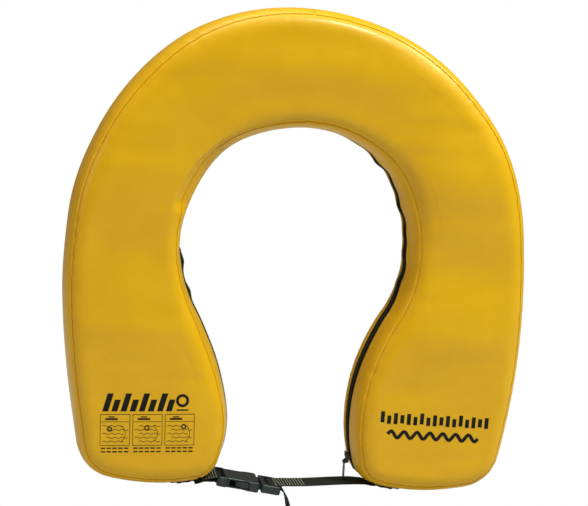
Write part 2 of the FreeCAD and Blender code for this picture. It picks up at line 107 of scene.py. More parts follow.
def heading(turn):
    """Unit vector in the front view, as (x, z)."""
    angle = math.radians(turn)
    return np.array([math.cos(angle), -math.sin(angle)])


def outline_centres():
    """Arc centres of the right half. The hole's arc touches the origin from above."""
    names = list(RADII)
    centre = np.zeros(2)
    found = {"crown": centre}
    ends = (CROWN_END, SIDE_END, OUTER_CORNER_END, LIMB_END_END, INNER_CORNER_END)
    for name, after, turn in zip(names, names[1:], ends):
        centre = centre - heading(turn) * (RADII[after] - RADII[name])
        found[after] = centre
    reach = RADII["throat"] + RADII["hole"]
    found["hole"] = np.array([0.0, centre[1] + math.sqrt(reach * reach - centre[0] * centre[0])])
    shift = np.array([0.0, -found["hole"][1] - RADII["hole"]])
    return {name: centre + shift for name, centre in found.items()}


CENTRES = outline_centres()
TO_THROAT = CENTRES["throat"] - CENTRES["hole"]
HOLE_START = math.degrees(math.atan2(-TO_THROAT[1], TO_THROAT[0]))
THROAT_END = HOLE_START + 180.0
LIMB_BOTTOM_Z = CENTRES["limb_end"][1] - RADII["limb_end"]


# ---------------------------------------------------------------- materials

def add_node(tree, kind, **values):
    node = tree.nodes.new(kind)
    for key, value in values.items():
        if key in node.inputs:
            node.inputs[key].default_value = value
        else:
            setattr(node, key, value)
    return node


def new_material(name, roughness, specular):
    material = bpy.data.materials.new(name)
    material.use_nodes = True
    shader = material.node_tree.nodes["Principled BSDF"]
    shader.inputs["Roughness"].default_value = roughness
    shader.inputs["Specular IOR Level"].default_value = specular
    return material, material.node_tree, shader


def object_space(tree, scale=(1.0, 1.0, 1.0)):
    coordinates = add_node(tree, "ShaderNodeTexCoord")
    mapping = add_node(tree, "ShaderNodeMapping")
    mapping.inputs["Scale"].default_value = scale
    tree.links.new(coordinates.outputs["Object"], mapping.inputs["Vector"])
    return mapping.outputs["Vector"]


def noise(tree, vector, scale, detail=2.0, roughness=0.5):
    node = add_node(tree, "ShaderNodeTexNoise", Scale=scale, Detail=detail, Roughness=roughness)
    tree.links.new(vector, node.inputs["Vector"])
    return node.outputs["Fac"]


def ramp(tree, value, low, high, low_colour, high_colour):
    node = add_node(tree, "ShaderNodeValToRGB")
    node.color_ramp.elements[0].position = low
    node.color_ramp.elements[1].position = high
    node.color_ramp.elements[0].color = (*low_colour, 1.0)
    node.color_ramp.elements[1].color = (*high_colour, 1.0)
    tree.links.new(value, node.inputs["Fac"])
    return node.outputs["Color"]


def map_range(tree, value, low, high, to_low, to_high):
    node = add_node(tree, "ShaderNodeMapRange")
    for key, number in (("From Min", low), ("From Max", high), ("To Min", to_low), ("To Max", to_high)):
        node.inputs[key].default_value = number
    tree.links.new(value, node.inputs["Value"])
    return node.outputs["Result"]


def bump(tree, shader, height, distance, strength=1.0, under=None):
    node = add_node(tree, "ShaderNodeBump", Strength=strength, Distance=distance)
    tree.links.new(height, node.inputs["Height"])
    if under is not None:
        tree.links.new(under, node.inputs["Normal"])
    tree.links.new(node.outputs["Normal"], shader.inputs["Normal"])
    return node.outputs["Normal"]


def wave(tree, vector, scale, direction, distortion=0.0):
    node = add_node(tree, "ShaderNodeTexWave", Scale=scale, Distortion=distortion)
    node.wave_type = "BANDS"
    node.bands_direction = direction
    tree.links.new(vector, node.inputs["Vector"])
    return node.outputs["Fac"]


def math_node(tree, operation, a, b):
    node = add_node(tree, "ShaderNodeMath", operation=operation)
    for socket, value in ((node.inputs[0], a), (node.inputs[1], b)):
        if isinstance(value, (int, float)):
            socket.default_value = value
        else:
            tree.links.new(value, socket)
    return node.outputs[0]


def base_colour(tree, shader, value, low, high, dark, light):
    tree.links.new(ramp(tree, value, low, high, dark, light), shader.inputs["Base Color"])


def mottled(name, specular, tone, colours, wear, coat, grain, weave=None):
    """A surface that varies softly: in colour with tone, in shine with wear, and in height with grain.

    Each of the three starts with its noise's scale, detail and roughness. After them tone and wear have the
    noise's low and high ends, wear the two roughnesses there, and grain its depth and strength. coat is a
    clear coat's weight and roughness, and weave a woven ground's scale, depth and strength.
    """
    material, tree, shader = new_material(name, 0.4, specular)
    space = object_space(tree)
    base_colour(tree, shader, noise(tree, space, *tone[:3]), *tone[3:], *colours)
    roughness = map_range(tree, noise(tree, space, *wear[:3]), *wear[3:])
    tree.links.new(roughness, shader.inputs["Roughness"])
    shader.inputs["Coat Weight"].default_value = coat[0]
    shader.inputs["Coat Roughness"].default_value = coat[1]
    under = woven(tree, shader, space, *weave) if weave else None
    bump(tree, shader, noise(tree, space, *grain[:3]), *grain[3:], under)
    return material


def woven(tree, shader, space, scale, depth, strength):
    threads = math_node(tree, "MAXIMUM", wave(tree, space, scale, "X"), wave(tree, space, scale, "Z"))
    return bump(tree, shader, threads, depth, strength)


def cover_material():
    """Polyurethane-coated nylon: a smooth satin coat through which a fine weave just shows."""
    return mottled("yellow_coated_fabric", 0.35, (22.0, 6.0, 0.62, 0.3, 0.7), (COVER_DARK, COVER_LIGHT),
                   (26.0, 4.0, 0.6, 0.3, 0.7, 0.36, 0.46), (0.22, 0.2), (60.0, 3.0, 0.6, 0.0006, 0.25),
                   (320.0, 0.00004, 0.35))


def metal_material():
    """Zinc casting in black paint, with paler rubbed places."""
    return mottled("black_painted_metal", 0.5, (420.0, 4.0, 0.65, 0.52, 0.72),
                   ((0.010, 0.010, 0.011), (0.055, 0.055, 0.058)), (420.0, 4.0, 0.65, 0.35, 0.7, 0.3, 0.48),
                   (0.25, 0.3), (1800.0, 2.0, 0.5, 0.00003, 0.35))


def buckle_material():
    """Black acetal: a smooth moulding with a slight cloudiness and a soft shine, its colour tinted blue as a
    painted reflection of the sky.
    """
    # The blue in both colours is a painted reflection of the sky; the cloudiness between them is random tone.
    return mottled("black_acetal", 0.4, (60.0, 3.0, 0.55, 0.3, 0.75),
                   ((0.008, 0.011, 0.019), (0.018, 0.026, 0.046)), (260.0, 4.0, 0.65, 0.3, 0.7, 0.30, 0.44),
                   (0.3, 0.22), (1400.0, 2.0, 0.5, 0.00004, 0.3))


def coil_material():
    """Nylon coil: slight mottling, a fine grain and a soft shine."""
    return mottled("black_coil", 0.5, (120.0, 3.0, 0.5, 0.3, 0.7),
                   ((0.003, 0.003, 0.003), (0.008, 0.008, 0.009)), (300.0, 3.0, 0.6, 0.3, 0.7, 0.45, 0.6),
                   (0.0, 0.03), (1500.0, 2.0, 0.5, 0.00003, 0.3))


def foam_material():
    """Closed-cell foam: pale grey skin with small cells."""
    material, tree, shader = new_material("grey_foam", 0.85, 0.2)
    space = object_space(tree)
    cells = add_node(tree, "ShaderNodeTexVoronoi", Scale=900.0)
    tree.links.new(space, cells.inputs["Vector"])
    base_colour(tree, shader, cells.outputs["Distance"], 0.0, 0.7, (0.66, 0.66, 0.64), (0.86, 0.86, 0.83))
    bump(tree, shader, cells.outputs["Distance"], 0.0003, 0.5)
    return material


def webbing_material():
    """Black woven webbing: ribs across the band, crossed by a finer twill."""
    material, tree, shader = new_material("black_webbing", 0.7, 0.2)
    layer = add_node(tree, "ShaderNodeUVMap", uv_map="band")
    space = layer.outputs["UV"]
    ribs = wave(tree, space, 165.0, "X", 0.3)
    twill = wave(tree, space, 260.0, "DIAGONAL", 0.4)
    half_twill = math_node(tree, "ADD", math_node(tree, "MULTIPLY", twill, 0.5), 0.5)
    weave = math_node(tree, "MULTIPLY", ribs, half_twill)
    worn = noise(tree, space, 90.0, 3.0, 0.6)
    mixed = math_node(tree, "MULTIPLY", weave, map_range(tree, worn, 0.3, 0.7, 0.65, 1.0))
    base_colour(tree, shader, mixed, 0.0, 0.9, (0.003, 0.003, 0.0035), (0.020, 0.020, 0.022))
    shader.inputs["Sheen Weight"].default_value = 0.06
    bump(tree, shader, weave, 0.00045, 0.9)
    return material


def thread_material(name, low, high):
    """Twisted polyester thread."""
    material, tree, shader = new_material(name, 0.55, 0.4)
    twist = wave(tree, object_space(tree), 900.0, "DIAGONAL", 0.5)
    base_colour(tree, shader, twist, 0.1, 0.9, low, high)
    bump(tree, shader, twist, 0.0001, 0.5)
    return material


def ink_material():
    """Screen-printed black ink, a little worn."""
    material, tree, shader = new_material("black_ink", 0.55, 0.2)
    worn = noise(tree, object_space(tree), 380.0, 4.0, 0.6)
    base_colour(tree, shader, worn, 0.35, 0.75, (0.004, 0.004, 0.006), (0.014, 0.013, 0.012))
    bump(tree, shader, worn, 0.00003, 0.3)
    return material


def tape_material():
    """Black zip tape: a fine knit."""
    material, tree, shader = new_material("black_zip_tape", 0.8, 0.15)
    space = object_space(tree)
    knit = math_node(tree, "MULTIPLY", wave(tree, space, 420.0, "Y"), wave(tree, space, 420.0, "Z"))
    base_colour(tree, shader, knit, 0.0, 1.0, (0.002, 0.002, 0.002), (0.012, 0.012, 0.012))
    bump(tree, shader, knit, 0.0002, 0.6)
    return material


COVER_DARK = (0.775, 0.396, 0.002)
COVER_LIGHT = (0.83, 0.438, 0.003)


# ---------------------------------------------------------------- mesh helpers

def make_object(name, points, faces, material, smooth=True):
    """points in millimetres"""
    mesh = bpy.data.meshes.new(name)
    mesh.from_pydata((np.asarray(points, float) * MM).tolist(), [], faces)
    mesh.materials.append(material)
    mesh.polygons.foreach_set("use_smooth", [smooth] * len(mesh.polygons))
    mesh.update()
    piece = bpy.data.objects.new(name, mesh)
    bpy.context.scene.collection.objects.link(piece)
    return piece


def closed_object(name, points, faces, material):
    """A closed mesh, with its faces turned outwards."""
    points = np.asarray(points, float)
    volume = 0.0
    for face in faces:
        a = points[face[0]]
        for j, k in zip(face[1:-1], face[2:]):
            volume += np.dot(a, np.cross(points[j], points[k]))
    if volume < 0.0:
        faces = flipped(faces)
    return make_object(name, points, faces, material)


def grid_faces(rows, columns, wrap=False, first=0):
    """Quads of a rows by columns grid, whose columns may close into a ring."""
    faces = []
    for i in range(rows - 1):
        for j in range(columns if wrap else columns - 1):
            k = (j + 1) % columns
            faces.append((first + i * columns + j, first + i * columns + k,
                          first + (i + 1) * columns + k, first + (i + 1) * columns + j))
    return faces


def tube_faces(rings, sides, first=0):
    """A closed tube: its wall and its two end caps."""
    last = first + (rings - 1) * sides
    faces = grid_faces(rings, sides, wrap=True, first=first)
    faces.append(tuple(reversed(range(first, first + sides))))
    faces.append(tuple(range(last, last + sides)))
    return faces


def flipped(faces):
    return [tuple(reversed(face)) for face in faces]


def solidify(piece, thickness):
    """Gives a sheet its thickness, inwards, with a sharp edge all round."""
    mesh = piece.data
    edges = np.empty(len(mesh.loops), int)
    mesh.loops.foreach_get("edge_index", edges)
    border = np.bincount(edges, minlength=len(mesh.edges)) == 1
    mesh.attributes.new("sharp_edge", "BOOLEAN", "EDGE").data.foreach_set("value", border)
    layer = piece.modifiers.new("thickness", "SOLIDIFY")
    layer.thickness = thickness * MM
    layer.offset = -1.0
    return piece


def dress(piece, body, slot, *nodes):
    """Says what a piece rides on and which CAD nodes it stands for. Its slot is not used."""
    if body:
        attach(piece, body)
    if nodes:
        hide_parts(*nodes)
    return piece


# ---------------------------------------------------------------- outline and cross section

def walk(arcs, steps):
    """Evenly spaced stations along tangent arcs, without the last: points and outward normals."""
    lengths = [abs(math.radians(last - first)) * RADII[name] for name, first, last in arcs]
    points = []
    normals = []
    for k in range(steps):
        s = sum(lengths) * k / steps
        i = 0
        while i < len(arcs) - 1 and s > lengths[i]:
            s -= lengths[i]
            i += 1
        name, first, last = arcs[i]
        turn = first + (last - first) * s / lengths[i]
        points.append(CENTRES[name] + heading(turn) * RADII[name])
        normals.append(heading(turn) * (-1 if name == "hole" else 1))
    return points, normals


# The right half in five stretches: arcs with their first and last turns, and the number of stations
RIGHT_HALF = (
    ((("crown", TOP_TURN, CROWN_END),), ARCH_STEPS),
    ((("side", CROWN_END, SIDE_END), ("outer_corner", SIDE_END, OUTER_MID_TURN)), SIDE_STEPS),
    ((("outer_corner", OUTER_MID_TURN, OUTER_CORNER_END), ("limb_end", OUTER_CORNER_END, LIMB_END_END),
      ("inner_corner", LIMB_END_END, INNER_MID_TURN)), END_STEPS),
    ((("inner_corner", INNER_MID_TURN, INNER_CORNER_END), ("throat", INNER_CORNER_END, THROAT_END),
      ("hole", HOLE_START, HOLE_SPLIT_TURN)), SIDE_STEPS),
    ((("hole", HOLE_SPLIT_TURN, TOP_TURN),), ARCH_STEPS),
)
HALF = 2 * (ARCH_STEPS + SIDE_STEPS) + END_STEPS
COUNT = 2 * HALF
SIDE_COUNT = ARCH_STEPS + SIDE_STEPS


def stations():
    """All stations round the outline, clockwise from the crown; station HALF is the hole's top."""
    points = []
    normals = []
    for arcs, steps in RIGHT_HALF:
        p, n = walk(arcs, steps)
        points += p
        normals += n
    points.append(CENTRES["hole"] + heading(TOP_TURN) * RADII["hole"])
    normals.append(-heading(TOP_TURN))
    flip = np.array([-1.0, 1.0])
    left = [p * flip for p in points[HALF - 1:0:-1]]
    left_normals = [n * flip for n in normals[HALF - 1:0:-1]]
    return np.array(points + left), np.array(normals + left_normals)


STATION, NORMAL = stations()
STEP = np.linalg.norm(np.roll(STATION, -1, axis=0) - STATION, axis=1)
ALONG = np.concatenate([[0.0], np.cumsum(STEP)])[:-1]
ROUND = float(STEP.sum())


def station_at(name, turn, left=RIGHT):
    """The station nearest to a turn on a named arc."""
    point = CENTRES[name] + heading(turn) * RADII[name]
    if left:
        point = point * np.array([-1.0, 1.0])
    return int(np.argmin(np.linalg.norm(STATION - point, axis=1)))


def place_of(name, turn, left=RIGHT):
    """How far along the outline a turn on a named arc is."""
    return ALONG[station_at(name, turn, left)]


def section_curve():
    """The half section from the gusset's crest to where the face is flat: arc length, inset and depth."""
    angle = np.linspace(0.0, math.pi / 2.0, 2001)
    power = 2.0 / SQUARENESS
    inset = ROLL_WIDTH * (1.0 - np.cos(angle) ** power)
    depth = FACE_Y * np.sin(angle) ** power
    steps = np.hypot(np.diff(inset), np.diff(depth))
    return np.concatenate([[0.0], np.cumsum(steps)]), inset, depth


SECTION_S, SECTION_INSET, SECTION_DEPTH = section_curve()
ROLL_END = float(SECTION_S[-1])
SEAM_S = float(np.interp(SEAM_INSET, SECTION_INSET, SECTION_S))
CORE_S = ROLL_END + CORE_INSET - ROLL_WIDTH


def face_depth(inset):
    """Depth of the crowned face, where it lies inside the rolled edge."""
    inside = np.maximum(np.asarray(inset, float) - ROLL_WIDTH, 0.0)
    return FACE_Y + CROWNING * (1.0 - np.exp(-(inside / CROWNING_WIDTH) ** 2))


def section(s):
    """Inset, depth, and the outward normal's two parts, at a distance s from the crest."""
    s = np.asarray(s, float)
    inset = np.interp(s, SECTION_S, SECTION_INSET) + np.maximum(s - ROLL_END, 0.0)
    depth = np.where(s > ROLL_END, face_depth(inset), np.interp(s, SECTION_S, SECTION_DEPTH))
    d_inset = np.gradient(SECTION_INSET, SECTION_S)
    d_depth = np.gradient(SECTION_DEPTH, SECTION_S)
    slope_inset = np.where(s > ROLL_END, 1.0, np.interp(s, SECTION_S, d_inset))
    slope_depth = np.where(s > ROLL_END, 0.0, np.interp(s, SECTION_S, d_depth))
    size = np.hypot(slope_inset, slope_depth)
    return inset, depth, slope_depth / size, slope_inset / size


# ---------------------------------------------------------------- how the fabric lies

# How far the cover lies inside the symmetric outline: turns on each arc, with the inset there
SHAPE = {
    ("crown", RIGHT): ((-88.0, 2.5), (-78.0, 4.5), (-52.0, 4.5), (-40.0, 4.8), (-28.0, 2.2), (-12.0, 2.2)),
    ("side", RIGHT): ((-1.0, 0.3), (6.0, -1.3)),
    ("outer_corner", RIGHT): ((25.0, -1.0),),
    ("limb_end", RIGHT): ((80.0, 4.5), (96.0, 4.5)),
    ("inner_corner", RIGHT): ((140.0, 3.0),),
    ("throat", RIGHT): ((172.0, 1.2), (205.0, 2.0)),
    ("hole", RIGHT): ((24.0, -1.0), (0.0, -4.6), (-24.0, -4.0), (-42.0, 2.5), (-70.0, 2.5)),
    ("hole", LEFT): ((-75.0, 1.6), (-50.0, 7.0), (-30.0, 2.6), (-19.0, 1.6), (-6.0, 4.8), (20.0, 5.0)),
    ("throat", LEFT): ((206.0, 11.0), (190.0, 8.0), (176.0, 1.0)),
    ("inner_corner", LEFT): ((140.0, 4.0),),
    ("limb_end", LEFT): ((101.0, 5.5), (85.0, 7.5)),
    ("outer_corner", LEFT): ((44.0, 7.0),),
    ("side", LEFT): ((10.5, 8.5), (5.5, 6.2), (0.0, 2.4)),
    ("crown", LEFT): ((-8.0, 3.6), (-24.0, 6.4), (-40.0, 3.8), (-60.0, -1.8), (-76.0, -0.6)),
}
SHAPE_BLUR = 16.0
# About twice how far the front seam lies inside the zip's line, beyond what it does elsewhere
LEANS = {
    ("inner_corner", RIGHT): ((125.0, 0.0), (160.0, 5.0)),
    ("throat", RIGHT): ((178.0, 8.5), (203.0, 11.5)),
    ("hole", RIGHT): ((24.0, 7.0), (-4.0, 1.0), (-20.0, 0.0)),
    ("hole", LEFT): ((-20.0, 0.0), (0.0, -4.0)),
    ("throat", LEFT): ((210.0, -6.5), (178.0, -6.5)),
    ("inner_corner", LEFT): ((150.0, 0.0),),
}
# What of it shows behind the zip, and from where to where beyond the zip it grows
BACK_LEAN = 0.25
BACK_LEAN_RUN = (4.0, 36.0)
PUCKER_FADE = 9.0
PUCKER_HEIGHT = 0.5
PUCKER_LENGTH = 15.0
FRONT_SEED = 11
BACK_SEED = 23
GATHER_LENGTH = 130.0
GATHER_SEED = 5
# Where the front seam is pulled nearly flat: turn on the left throat and half width
TAUT_TURN = 205.0
TAUT_WIDTH = 110.0
SEAM_DIP = 0.6
SEAM_DIP_WIDTH = 1.7
RIDGE_WIDTH = 17.0
WAVE_MEAN = 2.2
WAVE_SWING = 1.7
WAVE_LENGTH = 42.0
WAVE_SEED = 31
NARROW_RIDGE = 10.0
# How the zip stands out on the left: its least height, then each bulge's turn, half width and height
LEFT_RIDGE = 4.3
LEFT_BULGES = ((10.5, 10.0, 3.4), (25.5, 9.0, 2.6))
# The hollow that the left ridge pulls in front of itself: depth, place across the gusset and half width
LEFT_HOLLOW = 2.4
LEFT_HOLLOW_S = -27.0
LEFT_HOLLOW_WIDTH = 11.0
# The crease at the hole's upper left: turns and insets, then the turn where it ends, and the gusset's foot
CREASES = {("hole", LEFT): ((-88.0, 8.0), (-68.0, 9.0), (-57.0, 12.0), (-50.0, 14.0), (-45.0, 16.5),
                            (-30.0, 23.5), (-10.0, 23.5))}
FOLD_END = -14.5
FOLD_FOOT_Y = 24.0
# From and to where, along the outline from that end, the edge falls flat, and rises again
SLACK_FALL = (-190.0, -120.0)
SLACK_RISE = (-11.0, 5.0)

# Soft swells of the front: x, z, half width, half height and height out of the face
SWELLS = (
    (205.0, -62.0, 90.0, 40.0, 4.4), (208.0, -168.0, 80.0, 36.0, -4.0), (212.0, -262.0, 90.0, 34.0, 4.2),
    (215.0, -395.0, 90.0, 60.0, -1.8), (-225.0, -70.0, 80.0, 40.0, 2.6), (-225.0, -165.0, 80.0, 36.0, -2.4),
    (-215.0, -262.0, 80.0, 40.0, 2.4), (-60.0, 80.0, 120.0, 30.0, 1.9), (90.0, 75.0, 110.0, 32.0, 2.2),
)
# Where the front's edge is rolled wider than elsewhere: x, z, half width, half height and how far it falls
SOFT_EDGES = (
    (128.0, -110.0, 40.0, 80.0, 11.0), (-112.0, -300.0, 40.0, 85.0, 9.0), (-215.0, 60.0, 110.0, 80.0, 5.0),
    (200.0, 60.0, 110.0, 90.0, 6.0), (300.0, -110.0, 60.0, 110.0, 4.0),
)
SOFT_EDGE_WIDTH = 27.0

# Level creases: how many on each side, the seed of their draw, and their steepness
CREASE_COUNT = 70
CREASE_SEED = 19
CREASE_STEEPNESS = 0.085


def drawn_creases():
    """Short level creases at random places: x, z, half width, half height and height."""
    pick = np.random.RandomState(CREASE_SEED)
    found = []
    for side in (-1.0, 1.0):
        for _ in range(CREASE_COUNT):
            x = side * pick.uniform(60.0, 300.0)
            half_high = pick.uniform(4.0, 15.0)
            height = CREASE_STEEPNESS * half_high * pick.uniform(-1.0, 1.0) * min(1.0, abs(x) / 190.0)
            found.append((x, pick.uniform(-450.0, 90.0), pick.uniform(28.0, 75.0), half_high, height))
    return tuple(found)


DRAWN_CREASES = drawn_creases()


def ripple(t, length, seed, spread=0.5, terms=9):
    """Smooth irregular waves along the outline, about one millimetre high, that close round it."""
    pick = np.random.RandomState(seed)
    middle = ROUND / length
    value = np.zeros_like(np.asarray(t, float))
    for _ in range(terms):
        count = max(1, int(round(middle * (1.0 + spread * pick.uniform(-1.0, 1.0)))))
        value += np.cos(2.0 * math.pi * count * t / ROUND + pick.uniform(0.0, 2.0 * math.pi))
    return value / math.sqrt(terms)


def hill(x, centre, width):
    return np.exp(-((x - centre) / width) ** 2)


def smooth_step(x, low, high):
    f = np.clip((x - low) / (high - low), 0.0, 1.0)
    return f * f * (3.0 - 2.0 * f)


def apart(t, centre):
    """Signed distance along the closed outline."""
    return (t - centre + ROUND / 2.0) % ROUND - ROUND / 2.0


def blurred(table):
    """Values given at turns on the arcs, joined up and smoothed, one for each station."""
    given = [(place_of(name, turn, left), value)
             for (name, left), pairs in table.items() for turn, value in pairs]
    places, values = np.array(sorted(given)).T
    joined = np.interp(ALONG, places, values, period=ROUND)
    weight = np.exp(-0.5 * (apart(ALONG[:, None], ALONG[None, :]) / SHAPE_BLUR) ** 2) * STEP[None, :]
    return weight @ joined / weight.sum(axis=1)


SWAY = blurred(SHAPE)
CREASE = blurred(CREASES)
LEAN = blurred(LEANS)


def along_outline(t, values):
    """A value of each station, read at lengths along the outline."""
    return np.interp(t, ALONG, values, period=ROUND)


def lean(t, s):
    """Extra inset in front of the zip, growing to the front panel's edge, and a little less behind it."""
    leaning = along_outline(t, LEAN)
    behind = BACK_LEAN * np.maximum(leaning, 0.0) * smooth_step(s - ZIP_Y, *BACK_LEAN_RUN)
    return leaning * np.clip((ZIP_Y - s) / (2.0 * FACE_Y), 0.0, 1.0) - behind


def zip_ridge(t, s):
    """How far the zip stands out of the inner gusset: wavy beside the hole, flat where the slider runs."""
    right_top = place_of("hole", -48.0)
    right_low = place_of("hole", 24.0)
    left_top = place_of("hole", 2.5, LEFT)
    left_low = place_of("throat", 172.0, LEFT)
    right = smooth_step(t, right_low - 60.0, right_low + 30.0) - smooth_step(t, right_top, right_top + 60.0)
    left = smooth_step(t, left_top - 6.0, left_top + 6.0) - smooth_step(t, left_low, left_low + 40.0)
    waves = np.clip(WAVE_MEAN + WAVE_SWING * ripple(t, WAVE_LENGTH, WAVE_SEED, 0.35), 0.3, 4.8)
    proud = LEFT_RIDGE
    for turn, width, height in LEFT_BULGES:
        proud = proud + height * hill(apart(t, place_of("hole", turn, LEFT)), 0.0, width)
    hollow = LEFT_HOLLOW * left * hill(s, LEFT_HOLLOW_S, LEFT_HOLLOW_WIDTH)
    return right * waves * hill(s, ZIP_Y, RIDGE_WIDTH) + left * proud * hill(s, ZIP_Y, NARROW_RIDGE) - hollow


def slack(t):
    """Where the rolled edge at the hole's upper left has fallen flat, from 0 to 1."""
    place = apart(t, place_of("hole", FOLD_END, LEFT))
    return smooth_step(place, *SLACK_FALL) - smooth_step(place, *SLACK_RISE)


def fold(t, s):
    """Height lost where the edge has fallen flat, from a crease in the front panel to the gusset."""
    inset, depth, along_normal, along_depth = section(np.abs(s))
    crease = along_outline(t, CREASE)
    crease_depth = section(np.interp(crease, SECTION_INSET, SECTION_S))[1]
    foot = np.interp(FOLD_FOOT_Y, SECTION_DEPTH, SECTION_INSET)
    run = np.hypot(crease - foot, crease_depth - FOLD_FOOT_Y)
    toward_gusset = -(crease_depth - FOLD_FOOT_Y) / run
    toward_front = (crease - foot) / run
    proud = (inset - foot) * toward_gusset + (depth - FOLD_FOOT_Y) * toward_front
    facing = -along_normal * toward_gusset + along_depth * toward_front
    return np.where(s < 0, -slack(t) * np.maximum(proud, 0.0) / np.maximum(facing, 0.3), 0.0)


def seam_relief(t, s):
    """Height over the smooth section near a seam: its groove and the puckers that its stitches pull."""
    away = np.abs(np.abs(s) - SEAM_S)
    puckers = np.where(s < 0, ripple(t, PUCKER_LENGTH, FRONT_SEED), ripple(t, PUCKER_LENGTH, BACK_SEED))
    strength = 0.45 + 0.55 * np.clip(ripple(t, GATHER_LENGTH, GATHER_SEED), 0.0, 1.5)
    fade = np.exp(-away / PUCKER_FADE)
    relief = PUCKER_HEIGHT * puckers * strength * fade - SEAM_DIP * hill(away, 0.0, SEAM_DIP_WIDTH)
    pulled_flat = 0.8 * hill(apart(t, place_of("throat", TAUT_TURN, LEFT)), 0.0, TAUT_WIDTH)
    return relief * np.where(s < 0, 1.0 - np.maximum(0.9 * slack(t), pulled_flat), 1.0)


def mounds(x, z, places, side=1.0):
    """The sum of soft oval mounds, or of their mirror images when side is -1."""
    total = np.zeros_like(x)
    for cx, cz, wide, high, height in places:
        total += height * hill(x, side * cx, wide) * hill(z, cz, high)
    return total


def face_relief(x, z, front):
    """Soft swells and creases of the two faces, the back's mirrored from the front's."""
    return mounds(x, z, SWELLS + DRAWN_CREASES, 1.0 if front else -1.0)


def edge_fall(x, z, inset):
    """How far the front falls towards its edge where the roll is wide."""
    return mounds(x, z, SOFT_EDGES) * hill(inset, 0.0, SOFT_EDGE_WIDTH)


def outline_at(u):
    """Point, outward normal and length along the outline at a fractional station."""
    u = np.asarray(u, float)
    low = np.floor(u).astype(int)
    f = (u - low)[..., None]
    a = low % COUNT
    b = (low + 1) % COUNT
    point = STATION[a] * (1.0 - f) + STATION[b] * f
    normal = NORMAL[a] * (1.0 - f) + NORMAL[b] * f
    normal /= np.linalg.norm(normal, axis=-1, keepdims=True)
    return point, normal, ALONG[a] + STEP[a] * (u - low)


def skin_points(u, s, lift=0.0):
    """Points over the cover's outer surface: u is a station, s is across it, negative at the front."""
    u, s, lift = np.broadcast_arrays(np.asarray(u, float), np.asarray(s, float), np.asarray(lift, float))
    inset, depth, along_normal, along_depth = section(np.abs(s))
    sign = np.where(s < 0, -1.0, 1.0)
    point, normal, t = outline_at(u)
    inset = inset + along_outline(t, SWAY) + lean(t, s)
    flat_x = point[..., 0] - normal[..., 0] * inset
    flat_z = point[..., 1] - normal[..., 1] * inset
    on_face = smooth_step(np.abs(s), SEAM_S, CORE_S)
    swell = np.where(s < 0, face_relief(flat_x, flat_z, True), face_relief(flat_x, flat_z, False))
    fall = np.where(s < 0, edge_fall(flat_x, flat_z, inset) * along_depth, 0.0)
    height = seam_relief(t, s) + on_face * swell + zip_ridge(t, s) + fold(t, s) - fall + lift
    x = flat_x + normal[..., 0] * height * along_normal
    z = flat_z + normal[..., 1] * height * along_normal
    y = sign * (depth + height * along_depth)
    return np.stack([x, y, z], axis=-1)


# ---------------------------------------------------------------- cover

SEAM_ROWS = (0.03, 0.6, 1.3, 2.0, 2.9, 4.0, 5.5, 7.5)


def panel_rows():
    """Distances from the crest, from the seam in to the core's edge."""
    near = [SEAM_S + d for d in SEAM_ROWS]
    rest = np.linspace(near[-1], CORE_S, 16)[1:]
    return np.array(near + rest.tolist())


def nearest(flat, edge):
    """Distance from points (x, z) to the nearest point of an edge."""
    found = np.full(len(flat), 1e9)
    for k in range(0, len(flat), 2000):
        found[k:k + 2000] = np.linalg.norm(flat[k:k + 2000, None] - edge[None], axis=2).min(axis=1)
    return found


def core_grid(edge, depth_at, stride=1):
    """The flat middle inside a ring: points between its long sides, at a depth given by place and inset."""
    side = SIDE_COUNT // stride
    ends = END_STEPS // stride
    half = HALF // stride
    count = len(edge)
    run = np.arange(2 * side + 1)
    outer = edge[(run - side) % count]
    inner = edge[half - (run - side)]
    right = edge[side + np.arange(ends + 1)]
    left = edge[(count - side - np.arange(ends + 1)) % count]
    a = np.linspace(0.0, 1.0, ends + 1)[None, :, None]
    d = np.linspace(0.0, 1.0, 2 * side + 1)[:, None, None]
    sides = outer[:, None] * (1 - a) + inner[:, None] * a
    caps = left[None] * (1 - d) + right[None] * d
    corners = (outer[0] * (1 - a) + inner[0] * a) * (1 - d) + (outer[-1] * (1 - a) + inner[-1] * a) * d
    grid = sides + caps - corners
    flat = grid[..., [0, 2]].reshape(-1, 2)
    inset = CORE_INSET + nearest(flat, edge[:, [0, 2]])
    grid[..., 1] = depth_at(flat, inset).reshape(grid.shape[:2])
    return grid


def add_core(points, faces, first, edge, depth_at, stride, flip):
    """Closes the ring whose points start at index first with its core grid."""
    grid = core_grid(edge, depth_at, stride)
    side = SIDE_COUNT // stride
    half = HALF // stride
    count = len(edge)
    long, wide = grid.shape[:2]
    index = np.zeros((long, wide), int)
    for i in range(long):
        index[i, 0] = first + (i - side) % count
        index[i, wide - 1] = first + half - (i - side)
    for j in range(wide):
        index[long - 1, j] = first + side + j
        index[0, j] = first + (count - side - j) % count
    for i in range(1, long - 1):
        for j in range(1, wide - 1):
            index[i, j] = len(points)
            points.append(grid[i, j].tolist())
    for i in range(long - 1):
        for j in range(wide - 1):
            face = (index[i, j], index[i + 1, j], index[i + 1, j + 1], index[i, j + 1])
            faces.append(tuple(int(k) for k in (reversed(face) if flip else face)))


def face_at(front, sink=0.0):
    """The depth of the front or back face as a function of place and inset."""
    sign = -1.0 if front else 1.0

    def depth_at(flat, inset):
        relief = face_relief(flat[:, 0], flat[:, 1], front)
        if front:
            relief = relief - edge_fall(flat[:, 0], flat[:, 1], inset)
        return sign * (face_depth(inset) + relief - sink)

    return depth_at


def flat_at(y):
    return lambda flat, inset: np.full(len(flat), y)


